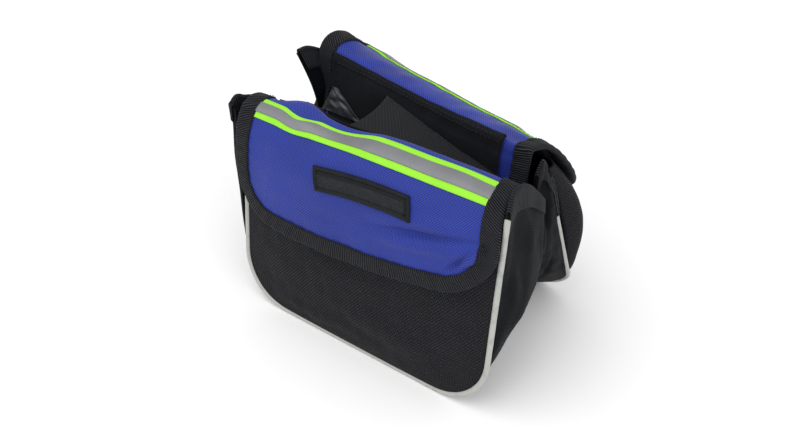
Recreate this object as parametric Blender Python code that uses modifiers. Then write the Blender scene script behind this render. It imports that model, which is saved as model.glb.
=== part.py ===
# Bicycle bag: a double pannier that hangs over the top tube, one pouch on each side.
# X runs along the bag's length, Y from the front pouch to the rear one, Z up, metres.
# The bag stands on the bottom seams of its two pouches.

import math

import bmesh
import bpy
import numpy as np

# Overall form
POUCH_WIDTH = 0.180          # between the two end seams of one pouch
CREST_HEIGHT = 0.140         # from the floor to the top fold
POUCH_DEPTH = 0.056          # outer panel to inner panel, at the top
VALLEY_HEIGHT = 0.100        # from the floor to the cloth between the two pouches
CORNER_RADIUS = 0.035        # of the outer panel's two lower corners
SEAM_TOP = 0.83              # the outer seam's two ends, a share of CREST_HEIGHT
SEAM_STEPS = 36              # along the outer seam, shared by its piping and its gusset
INNER_RISE = 0.047           # the inner panel ends this far above the floor
INNER_CORNER = 0.030
PINCH = math.radians(4.53)   # each pouch turns this much, so that the right ends come closer
REAR_SHIFT = -0.0143         # the rear pouch sits this far to the left of the front one
TUNNEL_CLEARANCE = 0.0006    # between the inner panels and the middle plane, at the right end

# Cloth and trims
PANEL_WALL = 0.0014
CLOTH_WALL = 0.0012
PIPING_DIAMETER = 0.0035
FLAP_CLEARANCE = 0.0006      # between the flap's binding and what it hangs over
FLAP_OVERHANG = 0.0010       # the flap's cloth reaches this far past the end seams
FLAP_CORNER = 0.030
VALLEY_END = 0.25            # the flap stops this far before the valley's last control point
TRIM_START = 4.0             # the flap starts to narrow at this control point of its section
BINDING_WIDTH = 0.0090
BINDING_WALL = 0.0010
BINDING_GAP = 0.0007
BINDING_SLACK = 0.0009       # between the cloth's cut edge and the binding's fold
NEON_WIDTH = 0.0155
NEON_WALL = 0.0010
SILVER_WIDTH = 0.0078
SILVER_WALL = 0.0006
LABEL_LENGTH = 0.0655
LABEL_HEIGHT = 0.0140
LABEL_WALL = 0.0012
LABEL_ARCH = 0.0030
SEAM_GAP = 0.0004            # cloth pieces that are sewn together
LAYER_GAP = 0.0003           # cloth pieces that lie on each other
VALLEY_GAP = 0.0009          # under the cloths in the valley, which lie slack

# Exponents that draw a panel's rows to its lower corners and its columns to its end seams
PANEL_SPREAD = 1.25
SIDE_SPREAD = 0.75

# Even steps of the flap's grid, which its binding and tapes share
FACE_ROWS = 7
TAPE_ROWS = 4
VALLEY_ROWS = 8

# The three sections of each pouch: its left end, its middle and its right end.
# lean: how far the outer seam leans inward, a share of the height above the floor.
# belly: how far the outer panel swells, a share of POUCH_DEPTH.
# crest, inner: distance of the top fold and of the inner panel from the bottom seam's plane,
# shares of POUCH_DEPTH. crest_drop: how much lower the top fold lies, a share of CREST_HEIGHT.
# trim: how much narrower the flap is at the top fold, a share of POUCH_WIDTH.
# overhang: how far the swollen outer panel reaches past its end seam, a share of POUCH_DEPTH.
SECTION_COLUMNS = ("lean", "belly", "crest", "inner", "crest_drop", "trim", "overhang")
SECTIONS = {
    "front": {"left": (0.10, 0.08, 0.36, 0.93, 0.020, 0.0, 0.02),
              "middle": (0.10, 0.14, 0.47, 1.00, 0.0, 0.0, 0.0),
              "right": (0.10, 0.09, 0.48, 1.035, -0.012, 0.022, 0.02)},
    "rear": {"left": (0.24, 0.28, 0.91, 1.18, 0.0, 0.010, 0.08),
             "middle": (0.27, 0.31, 0.91, 1.10, 0.0, 0.0, 0.0),
             "right": (0.34, 0.45, 0.91, 1.01, 0.0, 0.040, 0.16)},
}
# fullness: how close to its end seams a pouch keeps its belly. crown: how far the middle of
# the flap stands out from its ends, a share of POUCH_DEPTH.
SHAPES = {"front": {"fullness": 3.2, "crown": 0.13}, "rear": {"fullness": 11.0, "crown": 0.18}}
SHOULDER = 0.88              # below this share of CREST_HEIGHT the flap clears the end seams
CROWN_FADE = 0.22            # the crown fades out over this share of the height, at the top
OVERHANG_FROM = 0.78         # the overhang starts at this share of half the panel's width
OVERHANG_REACH = 1.5         # the flap clears the panel's belly this many overhangs further in

# The flap's section, from below its free edge over the top fold to the middle of the valley.
# out: distance from the bottom seam's plane as a share of the crest's, height as a share of
# CREST_HEIGHT.
# down: share of the way from the crest to the middle plane, share of the drop to the valley.
FOLDS = {
    "front": {"out": ((0.0, 0.33), (0.065, 0.45), (0.14, 0.58), (0.22, 0.72), (0.31, 0.84),
                      (0.44, 0.92), (0.70, 0.98), (1.0, 1.0)),
              "down": ((0.10, 0.07), (0.20, 0.28), (0.36, 0.62), (0.62, 0.92), (1.0, 1.0))},
    "rear": {"out": ((0.24, 0.28), (0.20, 0.39), (0.19, 0.51), (0.24, 0.64), (0.36, 0.77),
                     (0.53, 0.89), (0.75, 0.97), (1.0, 1.0)),
             "down": ((0.28, 0.09), (0.45, 0.34), (0.55, 0.66), (0.75, 0.93), (1.0, 1.0))},
}

# The flap's free edge: height as a share of CREST_HEIGHT at the left, middle and right.
FREE_EDGE = {"front": (0.515, 0.53, 0.62), "rear": (0.50, 0.49, 0.62)}

# The top edge of each end of a gusset, from the outer seam to the inner one: its height as a
# share of CREST_HEIGHT at even steps across, then how far the end flares outward and how far
# its inner edge leans to the valley, shares of POUCH_DEPTH.
EAR_COLUMNS = ("heights", "flare", "lean_in")
EARS = {
    ("front", "left"): ((0.93, 1.00, 0.98, 0.94, 0.84, 0.74), 0.19, 0.0),
    ("front", "right"): ((0.86, 0.95, 0.99, 0.97, 0.92, 0.82), 0.075, 0.0),
    ("rear", "left"): ((0.80, 0.90, 0.97, 1.02, 0.95, 0.99), 0.13, 0.20),
    ("rear", "right"): ((0.78, 0.88, 0.93, 0.95, 0.95, 0.85), 0.075, 0.0),
}
BELLY_SHIFT = 0.72           # under 1 it brings the belly's fullest height nearer to the floor
GUSSET_PUFF = 0.0065         # how far the gusset's ends swell outward
BOTTOM_PUFF = 0.0052         # how far its bottom swells downward
PUFF_FADE = (0.4, 0.9)       # the swell fades out between these shares of CREST_HEIGHT
FLARE_START = 0.48           # the ends start to flare at this share of CREST_HEIGHT

# The cloths in the valley: their ends along X as shares of half POUCH_WIDTH, and how far up
# the front and rear slopes they reach, 0 in the middle of the valley and 1 at the crest.
SADDLE = {"left_front": -0.92, "left_rear": -1.075, "right": 0.52, "front": 0.72, "rear": 0.90}
STRAP = {"left": -0.45, "right": 0.56, "front": 0.38, "rear_left": 0.78, "rear_right": 0.47,
         "sag": 0.30}

NEON_START = {"front": 0.0008, "rear": 0.0085}   # from the crest outward to the near edge
LABEL_CENTRE = (0.003, 0.034)   # along X, and from the crest down the flap

MATERIALS = {
    "mesh": ((0.013, 0.014, 0.017), 0.85, 0.0),
    "nylon": ((0.016, 0.017, 0.020), 0.70, 0.0),
    "blue": ((0.045, 0.065, 0.43), 0.62, 0.0),
    "binding": ((0.020, 0.021, 0.024), 0.80, 0.0),
    "piping": ((0.48, 0.48, 0.45), 0.45, 0.0),
    "neon": ((0.34, 0.88, 0.05), 0.50, 0.0),
    "silver": ((0.25, 0.26, 0.30), 0.35, 0.3),
    "rubber": ((0.012, 0.013, 0.016), 0.55, 0.0),
}


def half_spread():
    # The middle plane touches the deepest inner panel at the right end, plus a clearance.
    deepest = max(SECTIONS["front"]["right"][3], SECTIONS["rear"]["right"][3]) * POUCH_DEPTH
    return deepest + math.tan(PINCH) * POUCH_WIDTH / 2 + TUNNEL_CLEARANCE


def place(side, x, d, z):
    # Point of a pouch in the object's frame: x along the pouch, d inward from its bottom seam.
    turn = PINCH if side == "front" else -PINCH
    way = 1.0 if side == "front" else -1.0
    shift = 0.0 if side == "front" else REAR_SHIFT
    foot = -way * half_spread()
    across = way * d
    px = shift + x * math.cos(turn) - across * math.sin(turn)
    py = foot + x * math.sin(turn) + across * math.cos(turn)
    return np.stack(np.broadcast_arrays(px, py, z), axis=-1)


def by_station(values, x):
    # Parabola through the left, middle and right values.
    left, middle, right = values
    share = np.clip(x / (POUCH_WIDTH / 2), -1.15, 1.15)
    return middle + (right - left) / 2 * share + ((left + right) / 2 - middle) * share ** 2


def binding_skin():
    # From the middle of the flap's cloth to the outside of its binding.
    return CLOTH_WALL / 2 + BINDING_GAP + BINDING_WALL


def section(side, column, x):
    index = SECTION_COLUMNS.index(column)
    table = SECTIONS[side]
    return by_station([table[name][index] for name in ("left", "middle", "right")], x)


def middle_distance(x):
    # From the bottom seam's plane to the plane between the pouches.
    return half_spread() / math.cos(PINCH) - math.tan(PINCH) * x


def face_depth(side, x, z):
    # Depth of the outer panel: the leaning seam line, less a belly that is zero at the seams.
    across = np.clip(np.abs(x) / (POUCH_WIDTH / 2), 0, 1)
    swell = (1 - across ** SHAPES[side]["fullness"]) * belly_rise(z)
    return section(side, "lean", x) * z - section(side, "belly", x) * POUCH_DEPTH * swell


def belly_rise(z):
    # The belly's share of its fullest at height z: none at the floor and at the top.
    return np.sin(math.pi * np.clip(z / CREST_HEIGHT, 0, 1) ** BELLY_SHIFT)


def overhang(side, x, z):
    # How far the swollen panel can hang out sideways over its end seam.
    return section(side, "overhang", x) * POUCH_DEPTH * belly_rise(z)


def face_point(side, u, half, z):
    # Point of the outer panel, u from -1 to 1 between its seams, half apart at height z. Near
    # the end seams the swollen cloth hangs over them.
    near = np.clip((np.abs(u) - OVERHANG_FROM) / (1 - OVERHANG_FROM), 0, 1)
    x = u * half
    over = overhang(side, x, z) * 4 * near * (1 - near)
    return place(side, x + np.sign(u) * over, face_depth(side, x, z), z)


def fold_controls(side, x):
    # Control points of the flap's section at x: depth and height.
    crest = section(side, "crest", x) * POUCH_DEPTH
    top = CREST_HEIGHT * (1 - section(side, "crest_drop", x))
    bow = SHAPES[side]["crown"] * POUCH_DEPTH * (1 - np.abs(x / (POUCH_WIDTH / 2)) ** 3)
    depths = []
    heights = []
    for share, up in FOLDS[side]["out"]:
        height = up * top
        depth = share * crest - bow * min(1.0, (1 - up) / CROWN_FADE)
        if up < SHOULDER:
            full = x - np.sign(x) * OVERHANG_REACH * overhang(side, x, height)
            clear = face_depth(side, full, height) - PANEL_WALL / 2 - binding_skin()
            seam = section(side, "lean", x) * height - PIPING_DIAMETER / 2 - binding_skin()
            depth = np.minimum(depth, np.minimum(clear, seam) - FLAP_CLEARANCE)
        depths.append(depth)
        heights.append(height)
    middle = middle_distance(x)
    for share, down in FOLDS[side]["down"]:
        depths.append(crest + share * (middle - crest))
        heights.append(top - down * (top - VALLEY_HEIGHT))
    # One more point, the mirror image of the last but one, makes the valley's floor level.
    depths.append(2 * middle - depths[-2])
    heights.append(heights[-2])
    return np.array(depths), np.array(heights)


def spline(controls, at):
    # Catmull-Rom curve through the controls, which are numbered 0, 1, 2 and so on.
    count = len(controls)
    low = np.clip(np.floor(at).astype(int), 0, count - 2)
    f = at - low

    def pick(index):
        return np.take_along_axis(controls, np.clip(index, 0, count - 1)[None], axis=0)[0]

    a, b, c, d = pick(low - 1), pick(low), pick(low + 1), pick(low + 2)
    return 0.5 * (2 * b + (c - a) * f + (2 * a - 5 * b + 4 * c - d) * f ** 2
                  + (3 * b - a - 3 * c + d) * f ** 3)


def crest_index(side):
    return len(FOLDS[side]["out"]) - 1


def floor_index(side):
    return crest_index(side) + len(FOLDS[side]["down"])


def height_under_fold(side, x, depth):
    # How high a cloth's edge at this depth can reach under the valley side of the flap, which
    # is thicker along its two bound ends.
    x = np.atleast_1d(x)
    depths, heights = fold_controls(side, x)
    reach = np.arange(crest_index(side), floor_index(side) + 0.01, 0.05)
    grid = np.repeat(reach[:, None], x.size, axis=1)
    d = np.stack([spline(depths, row) for row in grid])
    z = np.stack([spline(heights, row) for row in grid])
    bound = np.clip((np.abs(x) - (flap_half() - 3 * BINDING_WIDTH)) / BINDING_WIDTH, 0, 1)
    allowance = CLOTH_WALL / 2 + bound * (BINDING_GAP + BINDING_WALL) + 2 * SEAM_GAP
    run_d, run_z = np.gradient(d, axis=0), np.gradient(z, axis=0)
    length = np.hypot(run_d, run_z)
    d = d + allowance * run_z / length
    z = z - allowance * run_d / length
    near = np.abs(d - depth) < 0.75 * CLOTH_WALL + np.min(np.abs(d - depth), axis=0)
    return np.where(near, z, CREST_HEIGHT).min(axis=0)


def fold_at(side, s):
    # The control number at arc length s from the crest, outward positive, on the middle section.
    depths, heights = fold_controls(side, np.zeros(1))
    fine = np.linspace(0, len(depths) - 1, 1201)
    d = spline(np.repeat(depths, fine.size, axis=1), fine)
    z = spline(np.repeat(heights, fine.size, axis=1), fine)
    run = np.concatenate(([0], np.cumsum(np.hypot(np.diff(d), np.diff(z)))))
    outward = np.interp(crest_index(side), fine, run) - run
    return np.interp(s, outward[::-1], fine[::-1])


def fold_point(side, x, at):
    # Point of the flap's middle surface at x along the pouch and control number at.
    x, at = np.broadcast_arrays(np.asarray(x, float), np.asarray(at, float))
    depths, heights = fold_controls(side, x)
    return place(side, x, spline(depths, at), spline(heights, at))


def raised(surface, a, b, height, step_a, step_b):
    # A surface's point moved along its normal, which is worked out from two small steps.
    along_a = surface(a + step_a, b) - surface(a - step_a, b)
    along_b = surface(a, b + step_b) - surface(a, b - step_b)
    normal = np.cross(along_a, along_b)
    normal /= np.linalg.norm(normal, axis=-1, keepdims=True)
    return surface(a, b) + normal * np.asarray(height)[..., None]


def flap_raised(side, x, at, height):
    # The normal points out of the pouch: the sign follows the side, as one is a mirror image.
    way = 1.0 if side == "front" else -1.0

    def surface(a, b):
        return fold_point(side, a, b)

    return raised(surface, x, at, way * height, 0.0005, 0.01)


def free_edge_at(side, x):
    # Control number of the flap's free edge: its height is read off the section there.
    height = by_station(FREE_EDGE[side], x) * CREST_HEIGHT
    ups = np.array([up for _, up in FOLDS[side]["out"]]) * CREST_HEIGHT
    return np.interp(height, ups, np.arange(len(ups)))


def valley_end_at(side):
    # The flap ends just before the middle plane.
    return floor_index(side) - VALLEY_END


def u_path(width, foot, corner, tops, count):
    # The U of a seam: x and z at even steps, down one side, along the bottom and up the other.
    left_top, right_top = tops
    straight = width - 2 * corner
    arc = math.pi * corner / 2
    left = left_top - foot - corner
    right = right_top - foot - corner
    marks = np.cumsum([0, left, arc, straight, arc, right])
    run = np.linspace(0, 1, count) * marks[-1]
    half = width / 2
    turn_left = (run - marks[1]) / corner
    turn_right = (run - marks[3]) / corner
    x = np.select(
        [run < marks[1], run < marks[2], run < marks[3], run < marks[4]],
        [-half + 0 * run, -half + corner - corner * np.cos(turn_left),
         -half + corner + run - marks[2], half - corner + corner * np.sin(turn_right)],
        half)
    z = np.select(
        [run < marks[1], run < marks[2], run < marks[3], run < marks[4]],
        [left_top - run, foot + corner - corner * np.sin(turn_left), foot + 0 * run,
         foot + corner - corner * np.cos(turn_right)],
        foot + corner + run - marks[4])
    return x, z


def half_width(z, width, foot, corner):
    # Half the width of a U at height z.
    low = np.clip(foot + corner - z, 0, corner)
    return width / 2 - corner + np.sqrt(corner ** 2 - low ** 2)


def new_material(name):
    colour, roughness, metallic = MATERIALS[name]
    material = bpy.data.materials.get(name) or bpy.data.materials.new(name)
    material.use_nodes = True
    shader = material.node_tree.nodes["Principled BSDF"]
    shader.inputs["Base Color"].default_value = (*colour, 1.0)
    shader.inputs["Roughness"].default_value = roughness
    shader.inputs["Metallic"].default_value = metallic
    return material


def add_object(name, data, material, collection):
    obj = bpy.data.objects.new(name, data)
    data.materials.append(new_material(material))
    collection.objects.link(obj)
    return obj


def sheet(name, columns, rows, surface, wall, material, collection):
    # A cloth: a flat grid moved to surface(u, v) for u and v from -1 to 1, then given its wall.
    mesh = bpy.data.meshes.new(name)
    form = bmesh.new()
    bmesh.ops.create_grid(form, x_segments=columns, y_segments=rows, size=1.0)
    flat = np.array([v.co[:2] for v in form.verts])
    for vertex, point in zip(form.verts, surface(flat[:, 0], flat[:, 1])):
        vertex.co = point
    bmesh.ops.recalc_face_normals(form, faces=form.faces)
    form.to_mesh(mesh)
    form.free()
    mesh.shade_smooth()
    obj = add_object(name, mesh, material, collection)
    solidify = obj.modifiers.new("wall", "SOLIDIFY")
    solidify.thickness = wall
    solidify.offset = 0.0
    solidify.use_even_offset = True
    return obj


def channel_loft(name, rings, material, collection):
    # A closed body through rings of eight points, each a U, with both ends filled.
    mesh = bpy.data.meshes.new(name)
    form = bmesh.new()
    loops = [[form.verts.new(point) for point in ring] for ring in rings]
    for one, two in zip(loops, loops[1:]):
        for i in range(len(one)):
            j = (i + 1) % len(one)
            form.faces.new((one[i], one[j], two[j], two[i]))
    for loop in (loops[0], loops[-1]):
        for a, b, c, d in ((0, 1, 6, 7), (1, 2, 5, 6), (2, 3, 4, 5)):
            form.faces.new((loop[a], loop[b], loop[c], loop[d]))
    bmesh.ops.recalc_face_normals(form, faces=form.faces)
    form.to_mesh(mesh)
    form.free()
    mesh.shade_smooth()
    mesh.set_sharp_from_angle(angle=math.radians(40))
    return add_object(name, mesh, material, collection)


def piping(side, collection):
    # A cord sewn into the outer seam, from under one side of the flap round to the other.
    top = SEAM_TOP * CREST_HEIGHT
    x, z = u_path(POUCH_WIDTH, 0.0, CORNER_RADIUS, (top, top), SEAM_STEPS + 1)
    points = place(side, x, face_depth(side, x, z), z)
    curve = bpy.data.curves.new(side + "_piping", "CURVE")
    curve.dimensions = "3D"
    curve.bevel_depth = PIPING_DIAMETER / 2
    curve.bevel_resolution = 1
    curve.use_fill_caps = True
    line = curve.splines.new("POLY")
    line.points.add(len(points) - 1)
    for dot, point in zip(line.points, points):
        dot.co = (*point, 1.0)
    return add_object(side + "_piping", curve, "piping", collection)


def outer_panel(side, collection):
    # The panel fills the U of the outer seam, less the piping.
    inset = PIPING_DIAMETER / 2 + 2 * LAYER_GAP
    top = SEAM_TOP * CREST_HEIGHT

    def surface(u, v):
        z = inset + (top - inset) * ((v + 1) / 2) ** PANEL_SPREAD
        half = half_width(z, POUCH_WIDTH - 2 * inset, inset, CORNER_RADIUS - inset)
        return face_point(side, np.sign(u) * np.abs(u) ** SIDE_SPREAD, half, z)

    return sheet(side + "_outer_panel", 18, 9, surface, PANEL_WALL, "mesh", collection)


def inner_panel(side, collection):
    # The panel towards the other pouch: it hangs from the valley and stops above the floor.
    inset = CLOTH_WALL / 2 + SEAM_GAP + CLOTH_WALL / 4
    foot = INNER_RISE + inset

    def surface(u, v):
        wide = u * (POUCH_WIDTH / 2 - inset)
        top = height_under_fold(side, wide, section(side, "inner", wide) * POUCH_DEPTH)
        z = foot + (top - foot) * ((v + 1) / 2) ** PANEL_SPREAD
        x = u * half_width(z, POUCH_WIDTH - 2 * inset, foot, INNER_CORNER)
        return place(side, x, section(side, "inner", x) * POUCH_DEPTH, z)

    return sheet(side + "_inner_panel", 10, 6, surface, CLOTH_WALL, "nylon", collection)


def gusset(side, collection):
    # The band between the outer and the inner seam, open at the top, with flared ends.
    start = PIPING_DIAMETER / 2 + 2 * LAYER_GAP + CLOTH_WALL / 4
    outer_top = SEAM_TOP * CREST_HEIGHT
    columns, rows = SEAM_STEPS, 6

    def ear(name, w):
        heights, flare, lean_in = EARS[(side, name)]
        steps = np.linspace(0, 1, len(heights))
        return np.interp(w, steps, heights) * CREST_HEIGHT, flare, lean_in

    def surface(u, v):
        t = (u + 1) / 2
        w = (v + 1) / 2
        points = np.zeros((len(t), 3))
        for step in np.unique(np.round(w, 6)):
            mine = np.abs(w - step) < 1e-5
            count = columns + 1
            ox, oz = u_path(POUCH_WIDTH, 0.0, CORNER_RADIUS, (outer_top, outer_top), count)
            ix, iz = u_path(POUCH_WIDTH, INNER_RISE, INNER_CORNER,
                            (VALLEY_HEIGHT, VALLEY_HEIGHT), count)
            od = face_depth(side, ox, oz)
            idepth = section(side, "inner", ix) * POUCH_DEPTH
            band = np.sqrt((ix - ox) ** 2 + (iz - oz) ** 2 + (idepth - od) ** 2)
            ruled = np.stack((ix - ox, idepth - od, iz - oz)) / band
            seam = np.stack((np.gradient(ox), np.gradient(od), np.gradient(oz)))
            seam /= np.linalg.norm(seam, axis=0)
            slant = np.linalg.norm(np.cross(ruled, seam, axis=0), axis=0)
            row = step + (1 - step) * start / (band * slant)
            left_top, left_flare, left_lean = ear("left", row)
            right_top, right_flare, right_lean = ear("right", row)
            x = ox + row * (ix - ox)
            z = oz + row * (iz - oz)
            d = od + row * (idepth - od)
            # The two ends are stretched from the base line up to the ear's top edge.
            plain_top = outer_top + row * (VALLEY_HEIGHT - outer_top)
            base = FLARE_START * CREST_HEIGHT
            for sign, top, flare, lean in ((-1, left_top, left_flare, left_lean),
                                           (1, right_top, right_flare, right_lean)):
                end = (np.sign(ox) == sign) & (z > base)
                up = np.where(end, (z - base) / (plain_top - base), 0.0)
                z = z + up * (top - plain_top)
                soft = up ** 1.5
                x = x + sign * soft * flare * POUCH_DEPTH
                d = d + soft * row * lean * POUCH_DEPTH
            # The lower part swells outward, square to the seams.
            low = np.clip((CORNER_RADIUS - oz) / CORNER_RADIUS, 0, 1)
            side_share = np.clip((np.abs(ox) - (POUCH_WIDTH / 2 - CORNER_RADIUS))
                                 / CORNER_RADIUS, 0, 1)
            swell = np.sin(math.pi * row)
            fade_from, fade_to = PUFF_FADE
            fade = np.clip((fade_to - z / CREST_HEIGHT) / (fade_to - fade_from), 0, 1)
            x = x + np.sign(ox) * side_share * GUSSET_PUFF * swell * fade
            z = z - low * BOTTOM_PUFF * swell
            line = place(side, x, d, z)
            index = np.rint(t[mine] * columns).astype(int)
            points[mine] = line[index]
        return points

    return sheet(side + "_gusset", columns, rows, surface, CLOTH_WALL, "nylon", collection)


def flap_half():
    return POUCH_WIDTH / 2 + FLAP_OVERHANG


def flap_half_at(side, sign, at):
    # Half the flap's width at control number at: it narrows towards the top fold.
    name = "right" if sign > 0 else "left"
    trim = SECTIONS[side][name][SECTION_COLUMNS.index("trim")] * POUCH_WIDTH
    share = np.clip((at - TRIM_START) / (crest_index(side) - TRIM_START), 0, 1)
    return flap_half() - trim * share ** 2 * (3 - 2 * share)


def fold_rows(side):
    # Control numbers of the rows that the flap, its binding and its tapes share.
    end = valley_end_at(side)
    near = NEON_START[side]
    tape = near + NEON_WIDTH
    silver = near + (NEON_WIDTH - SILVER_WIDTH) / 2
    marks = [near, silver, silver + SILVER_WIDTH, tape]
    shared = fold_at(side, np.array(marks))
    return end, shared


def flap(side, collection):
    # The cloth over the pouch's mouth: down the face to a free edge with rounded corners.
    end, tape = fold_rows(side)
    rows = FACE_ROWS + TAPE_ROWS + VALLEY_ROWS

    def surface(u, v):
        step = (v + 1) / 2 * rows
        low = free_edge_at(side, u * flap_half())
        share = (1 - np.cos(math.pi * np.clip(step / FACE_ROWS, 0, 1))) / 2
        on_face = low + (tape[3] - low) * share
        on_tape = tape[3] + (tape[0] - tape[3]) * (step - FACE_ROWS) / TAPE_ROWS
        in_valley = tape[0] + (end - tape[0]) * (step - FACE_ROWS - TAPE_ROWS) / VALLEY_ROWS
        at = np.where(step < FACE_ROWS, on_face,
                      np.where(step < FACE_ROWS + TAPE_ROWS, on_tape, in_valley))
        reach = distance_up(side, low, at)
        cut = np.clip(FLAP_CORNER - reach, 0, FLAP_CORNER)
        width = np.where(u > 0, flap_half_at(side, 1, at), flap_half_at(side, -1, at))
        half = width - FLAP_CORNER + np.sqrt(FLAP_CORNER ** 2 - cut ** 2)
        return fold_point(side, u * half, at)

    return sheet(side + "_flap", 16, rows, surface, CLOTH_WALL, "blue", collection)


def distance_up(side, low, at):
    # Arc length from the free edge up to the control number at, on the middle section.
    ruler = np.linspace(0, crest_index(side), 201)
    lengths = np.array([arc_between(side, 0.0, stop) for stop in ruler])
    return np.interp(at, ruler, lengths) - np.interp(low, ruler, lengths)


def arc_between(side, start, stop):
    depths, heights = fold_controls(side, np.zeros(1))
    fine = np.linspace(start, stop, 41)
    d = spline(np.repeat(depths, fine.size, axis=1), fine)
    z = spline(np.repeat(heights, fine.size, axis=1), fine)
    return float(np.sum(np.hypot(np.diff(d), np.diff(z))))


def flap_outline(side, inset, corner_steps, bottom_steps):
    # The flap's edge moved inward by inset: x and control number, from one valley end down
    # round the free edge and up to the other valley end.
    end, tape = fold_rows(side)
    half = flap_half() - inset
    radius = FLAP_CORNER - inset
    ruler = np.linspace(0, crest_index(side), 201)
    lengths = np.array([arc_between(side, 0.0, stop) for stop in ruler])

    def lift(x, reach):
        low = free_edge_at(side, x)
        return np.interp(np.interp(low, ruler, lengths) + inset + reach, lengths, ruler)

    def side_run(sign):
        # One side edge, from the valley end down to the start of the rounded corner.
        top = float(lift(np.array(sign * half), radius))
        at = np.concatenate((np.linspace(end, tape[0], VALLEY_ROWS + 1),
                             np.linspace(tape[0], tape[3], TAPE_ROWS + 1)[1:],
                             np.linspace(tape[3], top, FACE_ROWS + 1)[1:]))
        return sign * (flap_half_at(side, sign, at) - inset), at

    right_x, right_at = side_run(1)
    left_x, left_at = side_run(-1)
    turn = np.linspace(0, math.pi / 2, corner_steps + 1)[1:]
    corner_x = half - radius + radius * np.cos(turn)
    drop = radius - radius * np.sin(turn)
    bottom_x = np.linspace(half - radius, -(half - radius), bottom_steps + 1)[1:-1]
    x = np.concatenate((right_x, corner_x, bottom_x, -corner_x[::-1], left_x[::-1]))
    at = np.concatenate((right_at, lift(corner_x, drop), lift(bottom_x, 0 * bottom_x),
                         lift(-corner_x[::-1], drop[::-1]), left_at[::-1]))
    return x, at


def binding(side, collection):
    # Tape folded round the flap's edge: a U of even wall with the cloth in its slot.
    slot = CLOTH_WALL / 2 + BINDING_GAP
    skin = slot + BINDING_WALL
    edge = -BINDING_SLACK
    back = edge - BINDING_WALL
    profile = ((BINDING_WIDTH, skin), (back, skin), (back, -skin), (BINDING_WIDTH, -skin),
               (BINDING_WIDTH, -slot), (edge, -slot), (edge, slot), (BINDING_WIDTH, slot))
    columns = []
    for inset, height in profile:
        x, at = flap_outline(side, inset, 5, 9)
        columns.append(flap_raised(side, x, at, height))
    rings = np.stack(columns, axis=1)
    return channel_loft(side + "_flap_binding", rings, "binding", collection)


def tape(side, name, first, last, height, wall, material, rows, collection):
    # A tape along the crest, on the flap's rows, between the binding's two sides.
    marks = fold_rows(side)[1]
    margin = BINDING_WIDTH + SEAM_GAP

    def surface(u, v):
        at = marks[last] + (marks[first] - marks[last]) * (v + 1) / 2
        half = np.where(u > 0, flap_half_at(side, 1, at), flap_half_at(side, -1, at)) - margin
        return flap_raised(side, u * half, at, height)

    return sheet(name, 16, rows, surface, wall, material, collection)


def label_patch(collection):
    # A moulded patch that lies on the front flap, its two long edges arched.
    height = CLOTH_WALL / 2 + LAYER_GAP * 2 + LABEL_WALL / 2

    def surface(u, v):
        x = LABEL_CENTRE[0] + u * LABEL_LENGTH / 2
        rise = LABEL_ARCH * (1 - u ** 2)
        s = LABEL_CENTRE[1] - v * LABEL_HEIGHT / 2 - rise
        return flap_raised("front", x, fold_at("front", s), height)

    return sheet("label_patch", 10, 2, surface, LABEL_WALL, "rubber", collection)


def valley_point(x, v):
    # Point of the cloths' common middle surface in the valley, -1 at the front crest, 0 in the
    # middle and 1 at the rear crest. x is along the object's own X.
    x, v = np.broadcast_arrays(np.asarray(x, float), np.asarray(v, float))
    points = {}
    for side in ("front", "rear"):
        first = crest_index(side)
        last = floor_index(side)
        at = last + (first - last) * np.abs(v)
        shift = 0.0 if side == "front" else REAR_SHIFT
        along = x.copy()
        for _ in range(3):
            along = along + x - fold_point(side, along, at)[..., 0]
        points[side] = fold_point(side, along, at)
    return np.where((v < 0)[..., None], points["front"], points["rear"])


def valley_raised(x, v, height):
    return raised(valley_point, x, v, height, 0.0005, 0.004)


def saddle_panel(collection):
    # The cloth that lies over the bicycle's top tube and joins the two pouches.
    height = CLOTH_WALL + VALLEY_GAP
    right = SADDLE["right"] * POUCH_WIDTH / 2

    def surface(u, v):
        slant = (SADDLE["left_rear"] - SADDLE["left_front"]) * np.clip(v, 0, 1) ** 1.5
        left = (SADDLE["left_front"] + slant) * POUCH_WIDTH / 2
        x = left + (right - left) * (u + 1) / 2
        return valley_raised(x, np.where(v < 0, v * SADDLE["front"], v * SADDLE["rear"]), height)

    return sheet("saddle_panel", 10, 16, surface, CLOTH_WALL, "nylon", collection)


def tube_strap(collection):
    # The hook-and-loop strap, slack in the valley: it spans from one slope to the other.
    height = 2 * (CLOTH_WALL + VALLEY_GAP)
    left = STRAP["left"] * POUCH_WIDTH / 2
    right = STRAP["right"] * POUCH_WIDTH / 2

    def surface(u, v):
        x = left + (right - left) * (u + 1) / 2
        slant = STRAP["rear_left"] + (STRAP["rear_right"] - STRAP["rear_left"]) * (u + 1) / 2
        low = valley_raised(x, np.full_like(v, -STRAP["front"]), height)
        high = valley_raised(x, slant, height)
        span = np.linalg.norm(high - low, axis=-1)
        w = ((v + 1) / 2)[..., None]
        hang = STRAP["sag"] * span[..., None] * w * (1 - w)
        return low + (high - low) * w - hang * np.array((0.0, 0.0, 1.0))

    return sheet("tube_strap", 8, 6, surface, CLOTH_WALL, "binding", collection)


def set_down(collection):
    # Moves the whole bag so that its box stands on z = 0 with its middle at the origin.
    graph = bpy.context.evaluated_depsgraph_get()
    graph.update()
    corners = []
    for obj in collection.objects:
        mesh = obj.evaluated_get(graph).to_mesh()
        points = np.empty(len(mesh.vertices) * 3)
        mesh.vertices.foreach_get("co", points)
        points = points.reshape(-1, 3)
        corners += [points.min(0), points.max(0)]
        obj.evaluated_get(graph).to_mesh_clear()
    low, high = np.min(corners, 0), np.max(corners, 0)
    middle = (low + high) / 2
    for obj in collection.objects:
        obj.location = (-middle[0], -middle[1], -low[2])


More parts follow.
